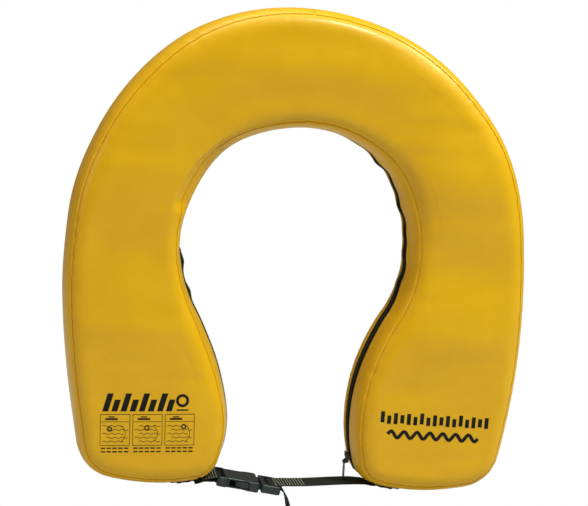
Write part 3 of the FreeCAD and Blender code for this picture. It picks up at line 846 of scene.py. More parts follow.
def cover_panel(front, material):
    rows = panel_rows()
    sign = -1.0 if front else 1.0
    rings = skin_points(np.arange(COUNT)[None, :], sign * rows[:, None])
    points = rings.reshape(-1, 3).tolist()
    faces = grid_faces(len(rows), COUNT, wrap=True)
    add_core(points, faces, (len(rows) - 1) * COUNT, rings[-1], face_at(front), 1, False)
    if front:
        faces = flipped(faces)
    return solidify(make_object("cover_front" if front else "cover_back", points, faces, material), SKIN)


# Foam slabs: how far they lie under the skin, stations per point, the cuts between them, the insets of a
# flat end's rings, and the groove behind the zip
FOAM_SINK = 1.6
FOAM_STRIDE = 2
SLAB_CUT = 16.0
SLAB_GAP = 0.3
CAP_INSETS = (30.0, 20.0, 10.0, 4.0, 1.0)
GROOVE_DEPTH = 3.5
GROOVE_WIDTH = 8.0
# Stations between which the groove deepens, on the right
GROOVE_RUN = (210.0, 218.0)


def foam_ring(u, s):
    """One ring of a foam slab's wall, grooved behind the zip."""
    low, high = GROOVE_RUN
    behind_zip = smooth_step(u, low, high) - smooth_step(u, COUNT - high, COUNT - low)
    groove = GROOVE_DEPTH * hill(s, ZIP_Y, GROOVE_WIDTH) * behind_zip
    return skin_points(u, s, -FOAM_SINK - groove)


def foam_slab(name, rows, low_flat, high_flat, material):
    """A closed slab: a wall along the given rows, and on each end a flat cut or the crowned face."""
    u = np.arange(0, COUNT, FOAM_STRIDE).astype(float)
    wall = [foam_ring(u, s) for s in rows]
    normal = outline_at(u)[1]

    def cap(ring, y):
        rings = []
        for inset in CAP_INSETS:
            inner = ring.copy()
            inner[:, 0] -= normal[:, 0] * inset
            inner[:, 2] -= normal[:, 1] * inset
            inner[:, 1] = y
            rings.append(inner)
        return rings

    low = [] if low_flat is None else cap(wall[0], low_flat)
    high = [] if high_flat is None else cap(wall[-1], high_flat)[::-1]
    rings = low + wall + high
    points = np.concatenate(rings).tolist()
    faces = grid_faces(len(rings), len(u), wrap=True)
    low_at = face_at(True, FOAM_SINK) if low_flat is None else flat_at(low_flat)
    high_at = face_at(False, FOAM_SINK) if high_flat is None else flat_at(high_flat)
    add_core(points, faces, 0, rings[0], low_at, FOAM_STRIDE, True)
    add_core(points, faces, (len(rings) - 1) * len(u), rings[-1], high_at, FOAM_STRIDE, False)
    return make_object(name, points, faces, material)


def foam_parts(material):
    cut = SLAB_CUT + SLAB_GAP
    outer = np.linspace(CORE_S, cut, 22)
    inner = np.linspace(-SLAB_CUT, SLAB_CUT, 17)
    slabs = (("front", -outer, None, -cut), ("middle", inner, -SLAB_CUT, SLAB_CUT),
             ("back", outer[::-1], cut, None))
    for side, rows, low, high in slabs:
        slab = foam_slab("foam_" + side, rows, low, high, material)
        dress(slab, "buoy", "foam", "foam_slab_" + side)


def columns(first, last, fine=(0.06, 0.2, 0.45)):
    """Stations of a strip, closer together at its two ends."""
    whole = np.arange(math.ceil(first + 0.7), math.floor(last - 0.7) + 1)
    start = [first] + [first + f for f in fine]
    end = [last - f for f in reversed(fine)] + [last]
    return np.array(start + whole.tolist() + end)


# The dip at a joint: its depth, and its half width in stations
JOINT_DIP = 1.5
JOINT_DIP_WIDTH = 0.28


def joint_lift(u, joints):
    """The gusset's pieces dip where they are joined end to end."""
    total = np.zeros_like(u)
    for joint in joints:
        total -= JOINT_DIP * hill(u, joint, JOINT_DIP_WIDTH)
    return total


def strip(name, u, rows, lifts, material, thickness, joints=()):
    """A strip of skin between two stations, one row of points per distance from the crest."""
    rows = np.asarray(rows, float)
    lift = np.asarray(lifts, float)[:, None] + joint_lift(u, joints)[None, :]
    points = skin_points(u[None, :], rows[:, None], lift)
    faces = flipped(grid_faces(len(rows), len(u)))
    return solidify(make_object(name, points.reshape(-1, 3), faces, material), thickness)


def inner_stations(turn):
    """Stations at a turn on the right inner corner and at its mirror place on the left one."""
    right = station_at("inner_corner", turn)
    return float(right), float(COUNT - right)


def seam_side_rows(far, steps):
    """Signed rows from the front seam towards the crest, as far as asked."""
    near = [SEAM_S - d for d in SEAM_ROWS]
    return near + np.linspace(near[-1], far, steps)[1:].tolist()


# The folded hem beside the zip, row by row: distance from its edge and height
HEM = ((8.0, 0.0), (6.6, 0.08), (5.6, 0.42), (4.2, 0.5), (3.2, 0.18), (2.2, 0.5), (0.9, 0.5), (0.3, 0.2),
       (0.0, -0.5))


def cover_parts(material):
    """All the fabric of the cover. Gives back its two panels by name."""
    right_joint, left_joint = inner_stations(GUSSET_JOINT)
    half_rows = seam_side_rows(0.0, 12)
    rows = [-r for r in half_rows] + list(reversed(half_rows[:-1]))
    flat = [0.0] * len(rows)
    for side, first, last in (("right", 0.0, right_joint), ("left", left_joint, float(COUNT))):
        piece = strip("outer_gusset_" + side, columns(first, last), rows, flat, material, SKIN,
                      (0.0, right_joint, left_joint, float(COUNT)))
        dress(piece, "buoy", "cover_fabric", "cover_outer_gusset_" + side)
    inner = columns(right_joint, left_joint)
    for side, sign in FACES:
        edge = abs(ZIP_Y + sign * ZIP_HALF_WINDOW)
        plain = seam_side_rows(edge + HEM[0][0], 9)
        hem = [(edge + d, h) for d, h in HEM[1:]]
        rows = [sign * r for r in plain] + [sign * r for r, _ in hem]
        lifts = [0.0] * len(plain) + [h for _, h in hem]
        if sign > 0:
            rows.reverse()
            lifts.reverse()
        piece = strip("inner_gusset_" + side, inner, rows, lifts, material, SKIN,
                      (right_joint, left_joint))
        dress(piece, "buoy", "cover_fabric", "cover_inner_gusset_" + side)
    panels = {}
    for name, front in (("cover_front", True), ("cover_back", False)):
        piece = cover_panel(front, material)
        panels[name] = dress(piece, "buoy", "cover_fabric", name + "_panel")
    rows = np.linspace(ZIP_Y - ZIP_HALF_WINDOW - 2.0, ZIP_Y + ZIP_HALF_WINDOW + 2.0, 9)
    zip_right, zip_left = inner_stations(ZIP_START)
    for side, first, last in (("right", right_joint, zip_right + 0.4), ("left", zip_left - 0.4, left_joint)):
        u = columns(first, last)
        piece = strip("zip_patch_" + side, u, rows, [-0.35] * len(rows), material, SKIN)
        dress(piece, "buoy", "cover_fabric", "zip_end_patch_" + side)
    return panels


# ---------------------------------------------------------------- zip

# Tape's rows, coil's teeth, stitches along the hems, and the clamps that end the coil
TAPE_HALF_SLIT = 0.7
TAPE_HALF = ZIP_HALF_WINDOW + 6.0
TAPE_LIFTS = (-0.75, -0.7, -0.7, -0.62, -0.66, -0.8, -1.05, -1.1)
TAPE_SKIN = 0.5
TOOTH_LONG = 1.35
TOOTH_IN = 0.42
TOOTH_OUT = 3.5
TOOTH_HEIGHT = 1.9
STITCH = 3.2
STITCH_GAP = 0.9
STOP_TURNS = (148.0, 152.7)
STOP_HEIGHT = 2.2
HEM_STITCH = 3.2


def zip_tapes(material):
    right, left = inner_stations(ZIP_START)
    u = columns(right, left)
    for side, sign in FACES:
        across = np.array([TAPE_HALF_SLIT, 1.6, 3.4, 6.0, 9.0, 11.0, ZIP_HALF_WINDOW, TAPE_HALF])
        order = int(sign)
        tape = strip("tape_" + side, u, (ZIP_Y + sign * across)[::order], TAPE_LIFTS[::order], material,
                     TAPE_SKIN)
        dress(tape, "buoy", "zip_tape", "zip_tape_" + side)


def station_of(t):
    """The fractional station at a length along the outline."""
    return np.interp(t, np.append(ALONG, ROUND), np.arange(COUNT + 1))


def tangent_at(u):
    normal = outline_at(u)[1]
    return np.stack([-normal[..., 1], np.zeros_like(normal[..., 0]), normal[..., 0]], axis=-1)


def zip_teeth(material):
    """Rounded coil loops, one row on each side of the slit and half a pitch apart."""
    right, left = inner_stations(COIL_START)
    start = ALONG[int(right)]
    end = ALONG[int(left)]
    count = int((end - start) / TOOTH_PITCH)
    profile = ((-0.5, 0.0), (-0.42, 0.62), (-0.18, 0.97), (0.18, 0.97), (0.42, 0.62), (0.5, 0.0))
    spans = ((TOOTH_IN, 0.45), (TOOTH_IN + 0.35, 0.95), (TOOTH_OUT - 0.8, 1.0), (TOOTH_OUT, 0.5))
    for side, sign, shift in (("front", -1.0, 0.0), ("back", 1.0, 0.5)):
        t = start + (np.arange(count) + shift) * TOOTH_PITCH
        u = station_of(t)
        tangent = tangent_at(u)
        rings = []
        for across, size in spans:
            base = skin_points(u, ZIP_Y + sign * across, -TAPE_SINK)
            raised = skin_points(u, ZIP_Y + sign * across, -TAPE_SINK + TOOTH_HEIGHT)
            for along, up in profile:
                point = base + (raised - base) * (up * size)
                rings.append(point + tangent * (along * TOOTH_LONG))
        points = np.stack(rings, axis=1).reshape(-1, 3)
        per_tooth = len(profile) * len(spans)
        one = tube_faces(len(spans), len(profile))
        if sign < 0:
            one = flipped(one)
        faces = [tuple(k * per_tooth + i for i in f) for k in range(count) for f in one]
        dress(closed_object("coil_" + side, points, faces, material), "buoy", "zip_coil", "zip_coil_" + side)


def zip_stops(material):
    """Clamps over the two ends of the coil."""
    profile = ((-1.0, -0.8), (-1.0, 0.7), (-0.72, 1.0), (0.72, 1.0), (1.0, 0.7), (1.0, -0.8))
    spans = ((-4.1, 0.8), (-3.7, 1.0), (3.7, 1.0), (4.1, 0.8))
    for side, left in (("right", RIGHT), ("left", LEFT)):
        ends = [place_of("inner_corner", turn, left) for turn in STOP_TURNS]
        middle = sum(ends) / 2.0
        half = abs(ends[1] - ends[0]) / 2.0
        points = [skin_points(station_of(middle + half * along), ZIP_Y + across, STOP_HEIGHT * up * size)
                  for across, size in spans for along, up in profile]
        stop = closed_object("clamp_" + side, points, tube_faces(len(spans), len(profile)), material)
        dress(stop, "buoy", "zip_metal", "zip_stop_" + side)


def sew(name, runs, radius, material, sides=6):
    """Closed round threads through lists of points, as one piece on the buoy."""
    points = []
    faces = []
    for run in runs:
        run = np.asarray(run, float)
        along = np.gradient(run, axis=0)
        along /= np.linalg.norm(along, axis=1, keepdims=True)
        guide = np.array([0.0, 1.0, 0.0]) if abs(along[0, 1]) < 0.7 else np.array([0.0, 0.0, 1.0])
        side = np.cross(along, guide)
        side /= np.linalg.norm(side, axis=1, keepdims=True)
        other = np.cross(side, along)
        angle = np.arange(sides) * 2.0 * math.pi / sides
        ring = (run[:, None] + radius * (side[:, None] * np.cos(angle)[None, :, None]
                                         + other[:, None] * np.sin(angle)[None, :, None]))
        faces += flipped(tube_faces(len(run), sides, len(points)))
        points += ring.reshape(-1, 3).tolist()
    dress(closed_object(name, points, faces, material), "buoy", None)


def hem_stitches(material):
    """A row of stitches along each hem of the zip window."""
    right, left = inner_stations(GUSSET_JOINT)
    start = ALONG[int(right)] + 4.0
    end = ALONG[int(left)] - 4.0
    pitch = STITCH + STITCH_GAP
    count = int((end - start) / pitch)
    lie = THREAD_R * np.array([-1.4, 0.35, 0.45, 0.35, -1.4])
    part = np.array([0.0, 0.14, 0.5, 0.86, 1.0])
    runs = []
    for sign in (-1.0, 1.0):
        s = ZIP_Y + sign * (ZIP_HALF_WINDOW + HEM_STITCH)
        for k in range(count):
            u = station_of(start + k * pitch + part * STITCH)
            runs.append(skin_points(u, s, 0.42 + lie))
    sew("hem_thread", runs, THREAD_R, material, 5)


# ---------------------------------------------------------------- strap

WEBBING_WIDTH = 40.0
WEBBING_THICKNESS = 1.5
STRAP_GAP = 0.3
STRAP_ROOT_TURN = 98.5
STRAP_TILT = 3.0
PATCH_WIDTH = 46.0
PATCH_THICKNESS = 1.0
PATCH_TURNS = (96.5, 98.2, 99.9, 101.6, 103.3)
BUCKLE_CENTRE_X = -48.5
BUCKLE_ABOVE_LIMB = 6.2
BUCKLE_SLOPE = 8.5
BUCKLE_TWIST = 5.0
FEMALE_BAR_X = -39.8
FEMALE_BAR_R = 2.6
LADDER_BAR_X = 31.5
LADDER_BAR_Z = 1.6
LADDER_BAR_R = 2.0
END_BAR_X = 40.5
END_BAR_Z = -1.5
END_BAR_R = 2.0
# The loose tail's route from the end bar: right, up, slope and twist
TAIL_ROUTE = ((1.2, -0.3, 12, BUCKLE_TWIST), (4.5, -2.0, 36, 4), (8.8, -6.2, 53, 3), (12.0, -11.8, 65, 2),
              (14.4, -18.4, 73, 1), (16.2, -25.8, 77, 0), (17.8, -36.0, 80, 0))
# Rows of thread sewn across the bands: from and to along the band, and pitch
TACK_R = 0.5
BOX_THREAD_R = 0.35
LEFT_TACKS = (3.0, 24.0, 3.6)
RIGHT_TACKS = (0.6, 38.0, 3.7)
BAR_CLEAR = 0.2 + WEBBING_THICKNESS / 2.0
UNDER_CLEAR = STRAP_GAP + PATCH_THICKNESS + STRAP_GAP + WEBBING_THICKNESS / 2.0


def frame_of(along, across, place):
    up = along.cross(across)
    turn = Matrix((along, across, up)).transposed().to_4x4()
    return Matrix.Translation(place) @ turn


def row_frame(x, z, slope, twist):
    """Frame on the strap: x along it, falling to the right by slope; z tips to the front by twist."""
    angle = math.radians(slope)
    tip = math.radians(twist)
    along = Vector((math.cos(angle), 0.0, -math.sin(angle)))
    level = along.cross(Vector((0.0, 1.0, 0.0)))
    across = Vector((0.0, 1.0, 0.0)) * math.cos(tip) + level * math.sin(tip)
    return frame_of(along, across, Vector((x, 0.0, z)))


def offset(frame_matrix, x, z):
    return frame_matrix @ Matrix.Translation((x, 0.0, z))


def under_limb(turn, left, clear):
    """Frame under a limb's end, at a distance from the gusset."""
    sway = float(along_outline(place_of("limb_end", turn, left), SWAY))
    point = CENTRES["limb_end"] + heading(turn) * (RADII["limb_end"] + clear - sway)
    slope = 90.0 - turn
    if left:
        return row_frame(-point[0], point[1], -slope, 0.0)
    return row_frame(point[0], point[1], slope, 0.0)


BUCKLE = row_frame(BUCKLE_CENTRE_X, LIMB_BOTTOM_Z + BUCKLE_ABOVE_LIMB, BUCKLE_SLOPE, BUCKLE_TWIST)


def turned(frame_matrix):
    """The same place, going the other way with the band's other side up."""
    return frame_matrix @ Matrix.Rotation(math.pi, 4, "Y")


def wrap(x, z, radius, first, last, steps=9):
    """Frames round a bar of the buckle, clockwise in the front view; 90 is the top."""
    found = []
    for k in range(steps):
        angle = math.radians(first + (last - first) * k / (steps - 1))
        place = Vector((x + radius * math.cos(angle), 0.0, z + radius * math.sin(angle)))
        along = Vector((math.sin(angle), 0.0, -math.cos(angle)))
        found.append(BUCKLE @ frame_of(along, Vector((0.0, 1.0, 0.0)), place))
    return found


def smooth_path(frames, pitch=1.3):
    """Places, across and up directions along a band, curved through its frames."""
    places = []
    acrosses = []
    for a, b in zip(frames[:-1], frames[1:]):
        p = np.array(a.translation)
        q = np.array(b.translation)
        reach = np.linalg.norm(q - p)
        start = np.array(a.col[0][:3]) * reach
        end = np.array(b.col[0][:3]) * reach
        steps = max(1, int(round(reach / pitch)))
        last_step = steps + 1 if b is frames[-1] else steps
        for k in range(last_step):
            f = k / steps
            places.append((2 * f**3 - 3 * f**2 + 1) * p + (f**3 - 2 * f**2 + f) * start
                          + (3 * f**2 - 2 * f**3) * q + (f**3 - f**2) * end)
            acrosses.append(np.array(a.col[1][:3]) * (1 - f) + np.array(b.col[1][:3]) * f)
    places = np.array(places)
    along = np.gradient(places, axis=0)
    along /= np.linalg.norm(along, axis=1, keepdims=True)
    across = np.array(acrosses)
    across -= along * (across * along).sum(axis=1, keepdims=True)
    across /= np.linalg.norm(across, axis=1, keepdims=True)
    return places, across, np.cross(along, across)


def run_lengths(places):
    """How far along a path each of its points is."""
    return np.concatenate([[0.0], np.cumsum(np.linalg.norm(np.diff(places, axis=0), axis=1))])


def band(name, frames, material, width=WEBBING_WIDTH, thickness=WEBBING_THICKNESS):
    """Woven band with round selvedges; its UV map runs along it and across it in metres."""
    places, across, up = smooth_path(frames)
    half = width / 2.0
    edge = thickness / 2.0
    flat = np.linspace(-half + edge, half - edge, 17)
    rim = np.linspace(0.0, math.pi, 5)[1:-1]
    side = half - edge + edge * np.sin(rim)
    y = np.concatenate([flat, side, flat[::-1], -side])
    z = np.concatenate([np.full(17, edge), edge * np.cos(rim), np.full(17, -edge), -edge * np.cos(rim)])
    ring = len(y)
    points = places[:, None] + across[:, None] * y[None, :, None] + up[:, None] * z[None, :, None]
    piece = closed_object(name, points.reshape(-1, 3), tube_faces(len(places), ring), material)
    travelled = run_lengths(places)
    layer = piece.data.uv_layers.new(name="band")
    corner = np.empty(len(piece.data.loops), int)
    piece.data.loops.foreach_get("vertex_index", corner)
    uv = np.stack([travelled[corner // ring], y[corner % ring]], axis=1) * MM
    layer.data.foreach_set("uv", uv.ravel())
    return piece


def left_run():
    """Along the top of the left half: from under the limb to the top of the socket's bar."""
    run = [under_limb(turn, LEFT, UNDER_CLEAR) for turn in (STRAP_ROOT_TURN, 101.2, LIMB_END_END)]
    leave = run[-1].translation
    top = offset(BUCKLE, FEMALE_BAR_X, FEMALE_BAR_R + BAR_CLEAR)
    rise = top.translation - leave
    run.append(row_frame(leave.x + rise.x * 0.33, leave.z + rise.z * 0.2, -18.0, 2.0))
    run.append(row_frame(leave.x + rise.x * 0.72, leave.z + rise.z * 0.9, -10.0, 7.0))
    return run, top


def left_band():
    """Under the left limb, over the socket's bar and back beneath itself."""
    run = left_run()[0]
    before, crest = run[-2:]
    gap = WEBBING_THICKNESS + 0.15
    bend = wrap(FEMALE_BAR_X, 0.0, FEMALE_BAR_R + BAR_CLEAR, 90.0, -90.0)
    back = [offset(crest, 0.0, -gap - 2.2), offset(before, 0.0, -gap), offset(before, -11.0, -gap)]
    return run + bend + [turned(f) for f in back]


def ladder_exit():
    """Frame at the plug's end bar, where the loose tail leaves."""
    return offset(BUCKLE, END_BAR_X, END_BAR_Z + END_BAR_R + 0.4 + WEBBING_THICKNESS / 2.0)


def right_run():
    """Along the top of the right half, from just after the ladder bar to under the limb."""
    middle = LADDER_BAR_R + BAR_CLEAR
    top = offset(BUCKLE, LADDER_BAR_X, LADDER_BAR_Z + middle)
    place = top.translation
    limb = [under_limb(turn, RIGHT, UNDER_CLEAR) for turn in (LIMB_END_END, 101.2, STRAP_ROOT_TURN)]
    corner = limb[0].translation
    return [offset(BUCKLE, LADDER_BAR_X + 4.5, LADDER_BAR_Z + middle + 0.4),
            row_frame(place.x + 14.0, place.z + 0.4, 0.0, STRAP_TILT),
            row_frame(place.x + 30.0, place.z + 0.6, -1.0, STRAP_TILT),
            row_frame(corner.x - 30.0, corner.z + 2.2, -1.5, STRAP_TILT),
            row_frame(corner.x - 14.0, corner.z + 1.9, 2.0, STRAP_TILT / 2.0)] + limb


def right_band():
    """From the end bar under the ladder bar, round it, and over to the right limb."""
    middle = LADDER_BAR_R + BAR_CLEAR
    under = [ladder_exit(), offset(BUCKLE, LADDER_BAR_X + 3.0, LADDER_BAR_Z - middle + 0.4)]
    bend = wrap(LADDER_BAR_X, LADDER_BAR_Z, middle, 270.0, 90.0)
    return [turned(f) for f in under] + bend + right_run()


def tail_band():
    """The loose end, from just inside the band that it continues."""
    start = ladder_exit()
    x = start.translation.x
    z = start.translation.z
    route = [row_frame(x + dx, z + dz, slope, twist) for dx, dz, slope, twist in TAIL_ROUTE]
    return [offset(start, -2.5, 0.0)] + route


def cross_rows(name, frames, tacks, material, from_end=False):
    """Rows of thread sewn across a band's upper side."""
    places, across, up = smooth_path(frames, 0.5)
    travelled = run_lengths(places)
    if from_end:
        travelled = travelled[-1] - travelled
    reach = np.linspace(-WEBBING_WIDTH / 2.0 + 1.6, WEBBING_WIDTH / 2.0 - 1.6, 25)
    weave = 0.14 * np.cos(np.arange(25) * math.pi)
    runs = []
    for s in np.arange(*tacks):
        i = int(np.argmin(np.abs(travelled - s)))
        height = WEBBING_THICKNESS / 2.0 + 0.12 + weave
        height[0] = height[-1] = WEBBING_THICKNESS / 2.0 - 0.4
        runs.append(places[i] + across[i] * reach[:, None] + up[i] * height[:, None])
    sew(name, runs, TACK_R, material)


def box_stitch(left, material):
    """The sewn box and cross that holds a strap's end on its patch, under the limb."""
    turns = np.linspace(99.0, 102.8, 24)
    frames = [under_limb(turn, left, UNDER_CLEAR + WEBBING_THICKNESS / 2.0) for turn in turns]
    rows = np.arange(len(frames))
    places = np.array([f.translation[:] for f in frames])
    downs = np.array([(-f.col[2])[:3] for f in frames])
    half = WEBBING_WIDTH / 2.0 - 4.0

    def sewn(i, y):
        point = np.stack([np.interp(i, rows, places[:, k]) for k in range(3)], axis=-1)
        down = np.stack([np.interp(i, rows, downs[:, k]) for k in range(3)], axis=-1)
        knots = 0.1 + 0.14 * np.cos(np.arange(len(i)) * math.pi)
        point = point + down * knots[:, None]
        point[:, 1] = y
        return point

    along = np.linspace(0.0, rows[-1], 61)
    across = np.linspace(-half, half, 41)
    runs = [sewn(along, np.full(61, y)) for y in (-half, half)]
    runs += [sewn(np.full(41, float(i)), across) for i in (0, rows[-1])]
    runs += [sewn(along, np.linspace(-half, half, 61) * sign) for sign in (-1.0, 1.0)]
    sew("box_stitch_left" if left else "box_stitch_right", runs, BOX_THREAD_R, material)


def strap_parts(material, thread):
    for side, frames in (("left", left_band()), ("right", right_band())):
        dress(band("webbing_" + side, frames, material), "buoy", "webbing", "strap_" + side)
    for side, is_left in (("left", LEFT), ("right", RIGHT)):
        frames = [under_limb(turn, is_left, STRAP_GAP + PATCH_THICKNESS / 2.0) for turn in PATCH_TURNS]
        order = 1 if is_left else -1
        patch = band("patch_" + side, frames[::order], material, PATCH_WIDTH, PATCH_THICKNESS)
        dress(patch, "buoy", "webbing", "strap_patch_" + side)
        box_stitch(is_left, thread)
    run, top = left_run()
    cross_rows("bar_tacks_left", run + [top], LEFT_TACKS, thread, from_end=True)
    cross_rows("bar_tacks_right", right_run(), RIGHT_TACKS, thread)
    tail = band("webbing_tail", tail_band(), material, WEBBING_WIDTH - 0.3, WEBBING_THICKNESS - 0.3)
    dress(tail, None, "webbing", "strap_tail")
    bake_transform(tail)


# ---------------------------------------------------------------- prints

INK_LIFT = 0.12
INK_CELL = 4.0
THIN_LINE = 0.7
# Left print: the slanted bars, and the frames of the three panels under them
BARS_X = -246.0
BARS_Z = -368.0
BAR_PITCH = 11.6
BAR_WIDE = 7.6
BAR_SLANT = 0.3
FRAME_X = -248.0
FRAME_Z = -412.0
FRAME_PITCH = 41.3
FRAME_WIDE = 37.5
FRAME_HIGH = 40.0


def ink(name, shapes, surface, material):
    """Thin printed shapes, given as convex outlines of (x, z), laid on the front panel."""
    mesh = bmesh.new()
    for shape in shapes:
        corners = [mesh.verts.new((x * MM, 0.0, z * MM)) for x, z in shape]
        mesh.faces.new(corners)
    while True:
        long = [e for e in mesh.edges if e.calc_length() > INK_CELL * MM]
        if not long:
            break
        bmesh.ops.subdivide_edges(mesh, edges=long, cuts=1, use_grid_fill=True)
        bmesh.ops.triangulate(mesh, faces=[f for f in mesh.faces if len(f.verts) > 4])
    for vertex in mesh.verts:
        hit = surface.ray_cast(Vector((vertex.co.x, -0.2, vertex.co.z)), Vector((0.0, 1.0, 0.0)))[0]
        vertex.co.y = hit.y - INK_LIFT * MM
    data = bpy.data.meshes.new(name)
    mesh.to_mesh(data)
    mesh.free()
    for polygon in data.polygons:
        if polygon.normal.y > 0.0:
            polygon.flip()
    data.materials.append(material)
    piece = bpy.data.objects.new(name, data)
    bpy.context.scene.collection.objects.link(piece)
    return dress(solidify(piece, 0.1), "buoy", None)


def slab(x, z, wide, high, slant=0.0):
    """A bar standing on (x, z), its top pushed to the right by slant."""
    return [(x, z), (x + wide, z), (x + wide + slant, z + high), (x + slant, z + high)]


def stroke(points, width):
    """A line of even width through points, as one quad per piece."""
    line = np.asarray(points, float)
    along = np.gradient(line, axis=0)
    along /= np.linalg.norm(along, axis=1, keepdims=True)
    side = np.stack([-along[:, 1], along[:, 0]], axis=1) * width / 2.0
    low = [tuple(point) for point in line - side]
    high = [tuple(point) for point in line + side]
    return [[low[i], low[i + 1], high[i + 1], high[i]] for i in range(len(line) - 1)]


def ring_line(x, z, radius, width, steps=28):
    angle = np.linspace(0.0, 2.0 * math.pi, steps + 1)
    inner = radius - width
    corners = [((radius, a), (radius, b), (inner, b), (inner, a)) for a, b in zip(angle[:-1], angle[1:])]
    return [[(x + r * math.cos(a), z + r * math.sin(a)) for r, a in four] for four in corners]


def wave_line(x0, x1, z, height, length, width, steps_per_wave=14):
    x = np.linspace(x0, x1, max(3, int((x1 - x0) / length * steps_per_wave)))
    return stroke(np.stack([x, z + height * np.sin((x - x0) * 2.0 * math.pi / length)], axis=1), width)


def border(x, z, wide, high, width):
    corners = [(x, z), (x + wide, z), (x + wide, z + high), (x, z + high), (x, z)]
    return [quad for a, b in zip(corners[:-1], corners[1:]) for quad in stroke([a, b], width)]


def tilted(shapes, x, z, degrees):
    """The shapes turned about a point."""
    c = math.cos(math.radians(degrees))
    s = math.sin(math.radians(degrees))
    return [[(x + (px - x) * c - (pz - z) * s, z + (px - x) * s + (pz - z) * c) for px, pz in shape]
            for shape in shapes]


def left_print():
    """A row of slanted bars with a ring, over three framed panels of waves, rings and arcs."""
    shapes = []
    for k, high in enumerate(4 * (23.0, 15.0)):
        shapes.append(slab(BARS_X + BAR_PITCH * k, BARS_Z, BAR_WIDE, high, high * BAR_SLANT))
    shapes += ring_line(-143.5, -354.5, 8.5, 3.6)
    shapes.append(slab(-151.0, -367.5, 15.0, 1.8))
    for k in range(3):
        x = FRAME_X + FRAME_PITCH * k
        shapes += border(x, FRAME_Z, FRAME_WIDE, FRAME_HIGH, THIN_LINE)
        shapes += stroke([(x, -381.5), (x + FRAME_WIDE, -381.5)], 0.6)
        for row in range(5):
            start = x + 3.0 + 5.0 * ((row + k) % 2)
            shapes += wave_line(start, start + 27.0, -387.0 - 5.0 * row, 0.8, 9.0, THIN_LINE)
        shapes += ring_line(x + 12.0 + 6.0 * k, -391.0 + 1.5 * k, 3.4, 1.6, 18)
        shapes += stroke([(x + 6.0, -378.0), (x + 22.0, -378.0)], 2.4)
        shapes += stroke([(x + 10.0, -375.3), (x + 18.0, -375.3)], 1.4)
        arc = np.radians(np.linspace(-60.0, 60.0, 12))
        shapes += stroke([(x + 20.0 + 12.0 * math.cos(a), -397.0 + 12.0 * math.sin(a)) for a in arc], THIN_LINE)
        for row in range(2):
            z = -416.5 - 4.6 * row
            for dash in range(5):
                shapes.append(slab(x + 1.0 + 7.4 * dash, z, 5.6, 1.7))
    return tilted(shapes, -190.0, -390.0, 1.8)


def right_print():
    """Two rows of bold marks: tall and short bars over a thick wave."""
    shapes = []
    for k in range(17):
        shapes.append(slab(115.0 + 8.7 * k, -378.0 if k % 3 else -376.5, 5.2, 11.0 if k % 2 else 14.5))
    shapes += wave_line(126.0, 247.0, -391.5, 4.2, 17.3, 4.6)
    return tilted(shapes, 190.0, -380.0, -1.6)


def prints(panel, material):
    view = bmesh.new()
    view.from_mesh(panel.data)
    surface = BVHTree.FromBMesh(view)
    view.free()
    ink("print_left", left_print(), surface, material)
    ink("print_right", right_print(), surface, material)


# ---------------------------------------------------------------- hardware kept from the CAD model

def paint_nodes(names, material):
    for name in names:
        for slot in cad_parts[name].material_slots:
            slot.material = material


# ---------------------------------------------------------------- camera, light and stage

FLOOR_Z = -512.0
FLOOR_HALF = 9000.0
WORLD_LIGHT = 0.14
COOL = (0.91, 1.0, 0.80)
LIME = (0.82, 1.0, 0.72)
WARM = (1.0, 0.87, 0.64)
# Lights: where they are and where they aim in metres, size, power in watts and colour
LIGHTS = (
    ("key", (2.2, -3.0, 4.8), (0.0, 0.0, -0.15), (1.4, 1.4), 304.0, COOL),
    ("fill", (-3.0, -0.6, 0.7), (0.0, 0.0, -0.15), (1.6, 1.6), 14.0, WARM),
    ("sky", (-0.4, 0.15, 2.3), (0.0, 0.0, -0.1), (2.4, 1.6), 36.0, COOL),
    ("rim", (2.2, -0.3, 2.2), (0.0, 0.0, -0.15), (0.8, 0.8), 44.0, LIME),
)


def set_camera():
    """Turned by yaw and pitch about the object, then rolled about its own line of sight."""
    yaw, pitch, roll = (math.radians(angle) for angle in (CAMERA_YAW, CAMERA_PITCH, CAMERA_ROLL))
    turn = Matrix.Rotation(-yaw, 4, "Z") @ Matrix.Rotation(math.pi / 2.0 - pitch, 4, "X") \
        @ Matrix.Rotation(roll, 4, "Z")
    data = bpy.data.cameras.new("camera")
    data.lens = CAMERA_LENS
    data.sensor_width = 36.0
    data.clip_end = 50.0
    camera = bpy.data.objects.new("camera", data)
    bpy.context.scene.collection.objects.link(camera)
    place = Vector(CAMERA_TARGET) + turn.to_3x3() @ Vector((AIM_RIGHT, AIM_UP, CAMERA_DISTANCE))
    camera.matrix_world = Matrix.Translation(place * MM) @ turn
    bpy.context.scene.camera = camera


def area_light(name, place, aim, size, power, colour):
    """place and aim in metres, power in watts"""
    data = bpy.data.lights.new(name, "AREA")
    data.shape = "RECTANGLE"
    data.size = size[0]
    data.size_y = size[1]
    data.energy = power
    data.color = colour
    light = bpy.data.objects.new(name, data)
    bpy.context.scene.collection.objects.link(light)
    light.location = place
    light.rotation_euler = (Vector(aim) - Vector(place)).to_track_quat("-Z", "Y").to_euler()


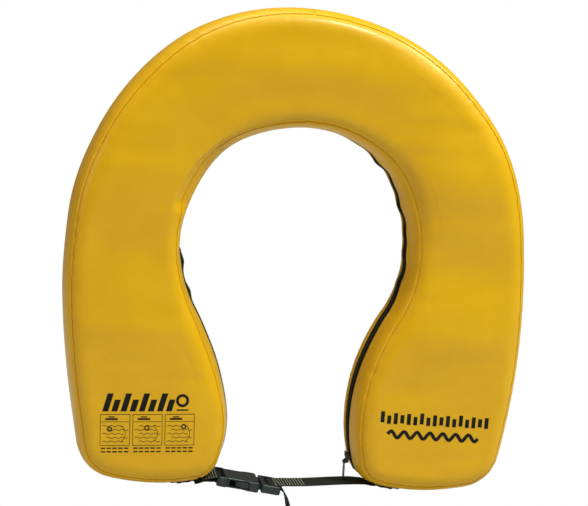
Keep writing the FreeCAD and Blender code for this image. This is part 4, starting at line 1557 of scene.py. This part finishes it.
def white_when_seen(tree, lit, output):
    """Joins a shader to an output so that the thing shows pure white but lights the object as that shader."""
    seen = add_node(tree, "ShaderNodeEmission", Color=(1.0, 1.0, 1.0, 1.0), Strength=1.0)
    path = add_node(tree, "ShaderNodeLightPath")
    mix = add_node(tree, "ShaderNodeMixShader")
    tree.links.new(path.outputs["Is Camera Ray"], mix.inputs[0])
    tree.links.new(lit, mix.inputs[1])
    tree.links.new(seen.outputs[0], mix.inputs[2])
    tree.links.new(mix.outputs[0], output)


def floor_material():
    """Plain white floor with a faint unevenness, which melts into the background."""
    material, tree, shader = new_material("white_floor", 0.9, 0.1)
    tone = noise(tree, object_space(tree), 0.6, 2.0, 0.5)
    base_colour(tree, shader, tone, 0.3, 0.7, (0.50, 0.50, 0.50), (0.56, 0.56, 0.56))
    white_when_seen(tree, shader.outputs[0], tree.nodes["Material Output"].inputs["Surface"])
    return material


def set_world():
    world = bpy.data.worlds.new("world")
    world.use_nodes = True
    tree = world.node_tree
    lit = tree.nodes["Background"]
    lit.inputs["Color"].default_value = (*WARM, 1.0)
    lit.inputs["Strength"].default_value = WORLD_LIGHT
    white_when_seen(tree, lit.outputs[0], tree.nodes["World Output"].inputs["Surface"])
    bpy.context.scene.world = world


def set_stage():
    set_world()
    half = FLOOR_HALF
    corners = [(-half, -half, FLOOR_Z), (half, -half, FLOOR_Z), (half, half, FLOOR_Z), (-half, half, FLOOR_Z)]
    floor = make_object("floor", corners, [(0, 1, 2, 3)], floor_material(), smooth=False)
    for light in LIGHTS:
        area_light(*light)
    bpy.context.scene.view_settings.view_transform = "Standard"


front_panel = cover_parts(cover_material())["cover_front"]
foam_parts(foam_material())
zip_tapes(tape_material())
zip_teeth(coil_material())
hem_stitches(thread_material("yellow_thread", (0.50, 0.27, 0.01), (0.68, 0.40, 0.02)))
strap_parts(webbing_material(), thread_material("grey_thread", (0.27, 0.27, 0.26), (0.42, 0.42, 0.40)))
metal = metal_material()
zip_stops(metal)
paint_nodes(("zip_slider", "zip_pull_tab"), metal)
paint_nodes(("buckle_female", "buckle_male_frame", "buckle_arm_front", "buckle_arm_back"), buckle_material())
prints(front_panel, ink_material())
set_camera()
set_stage()
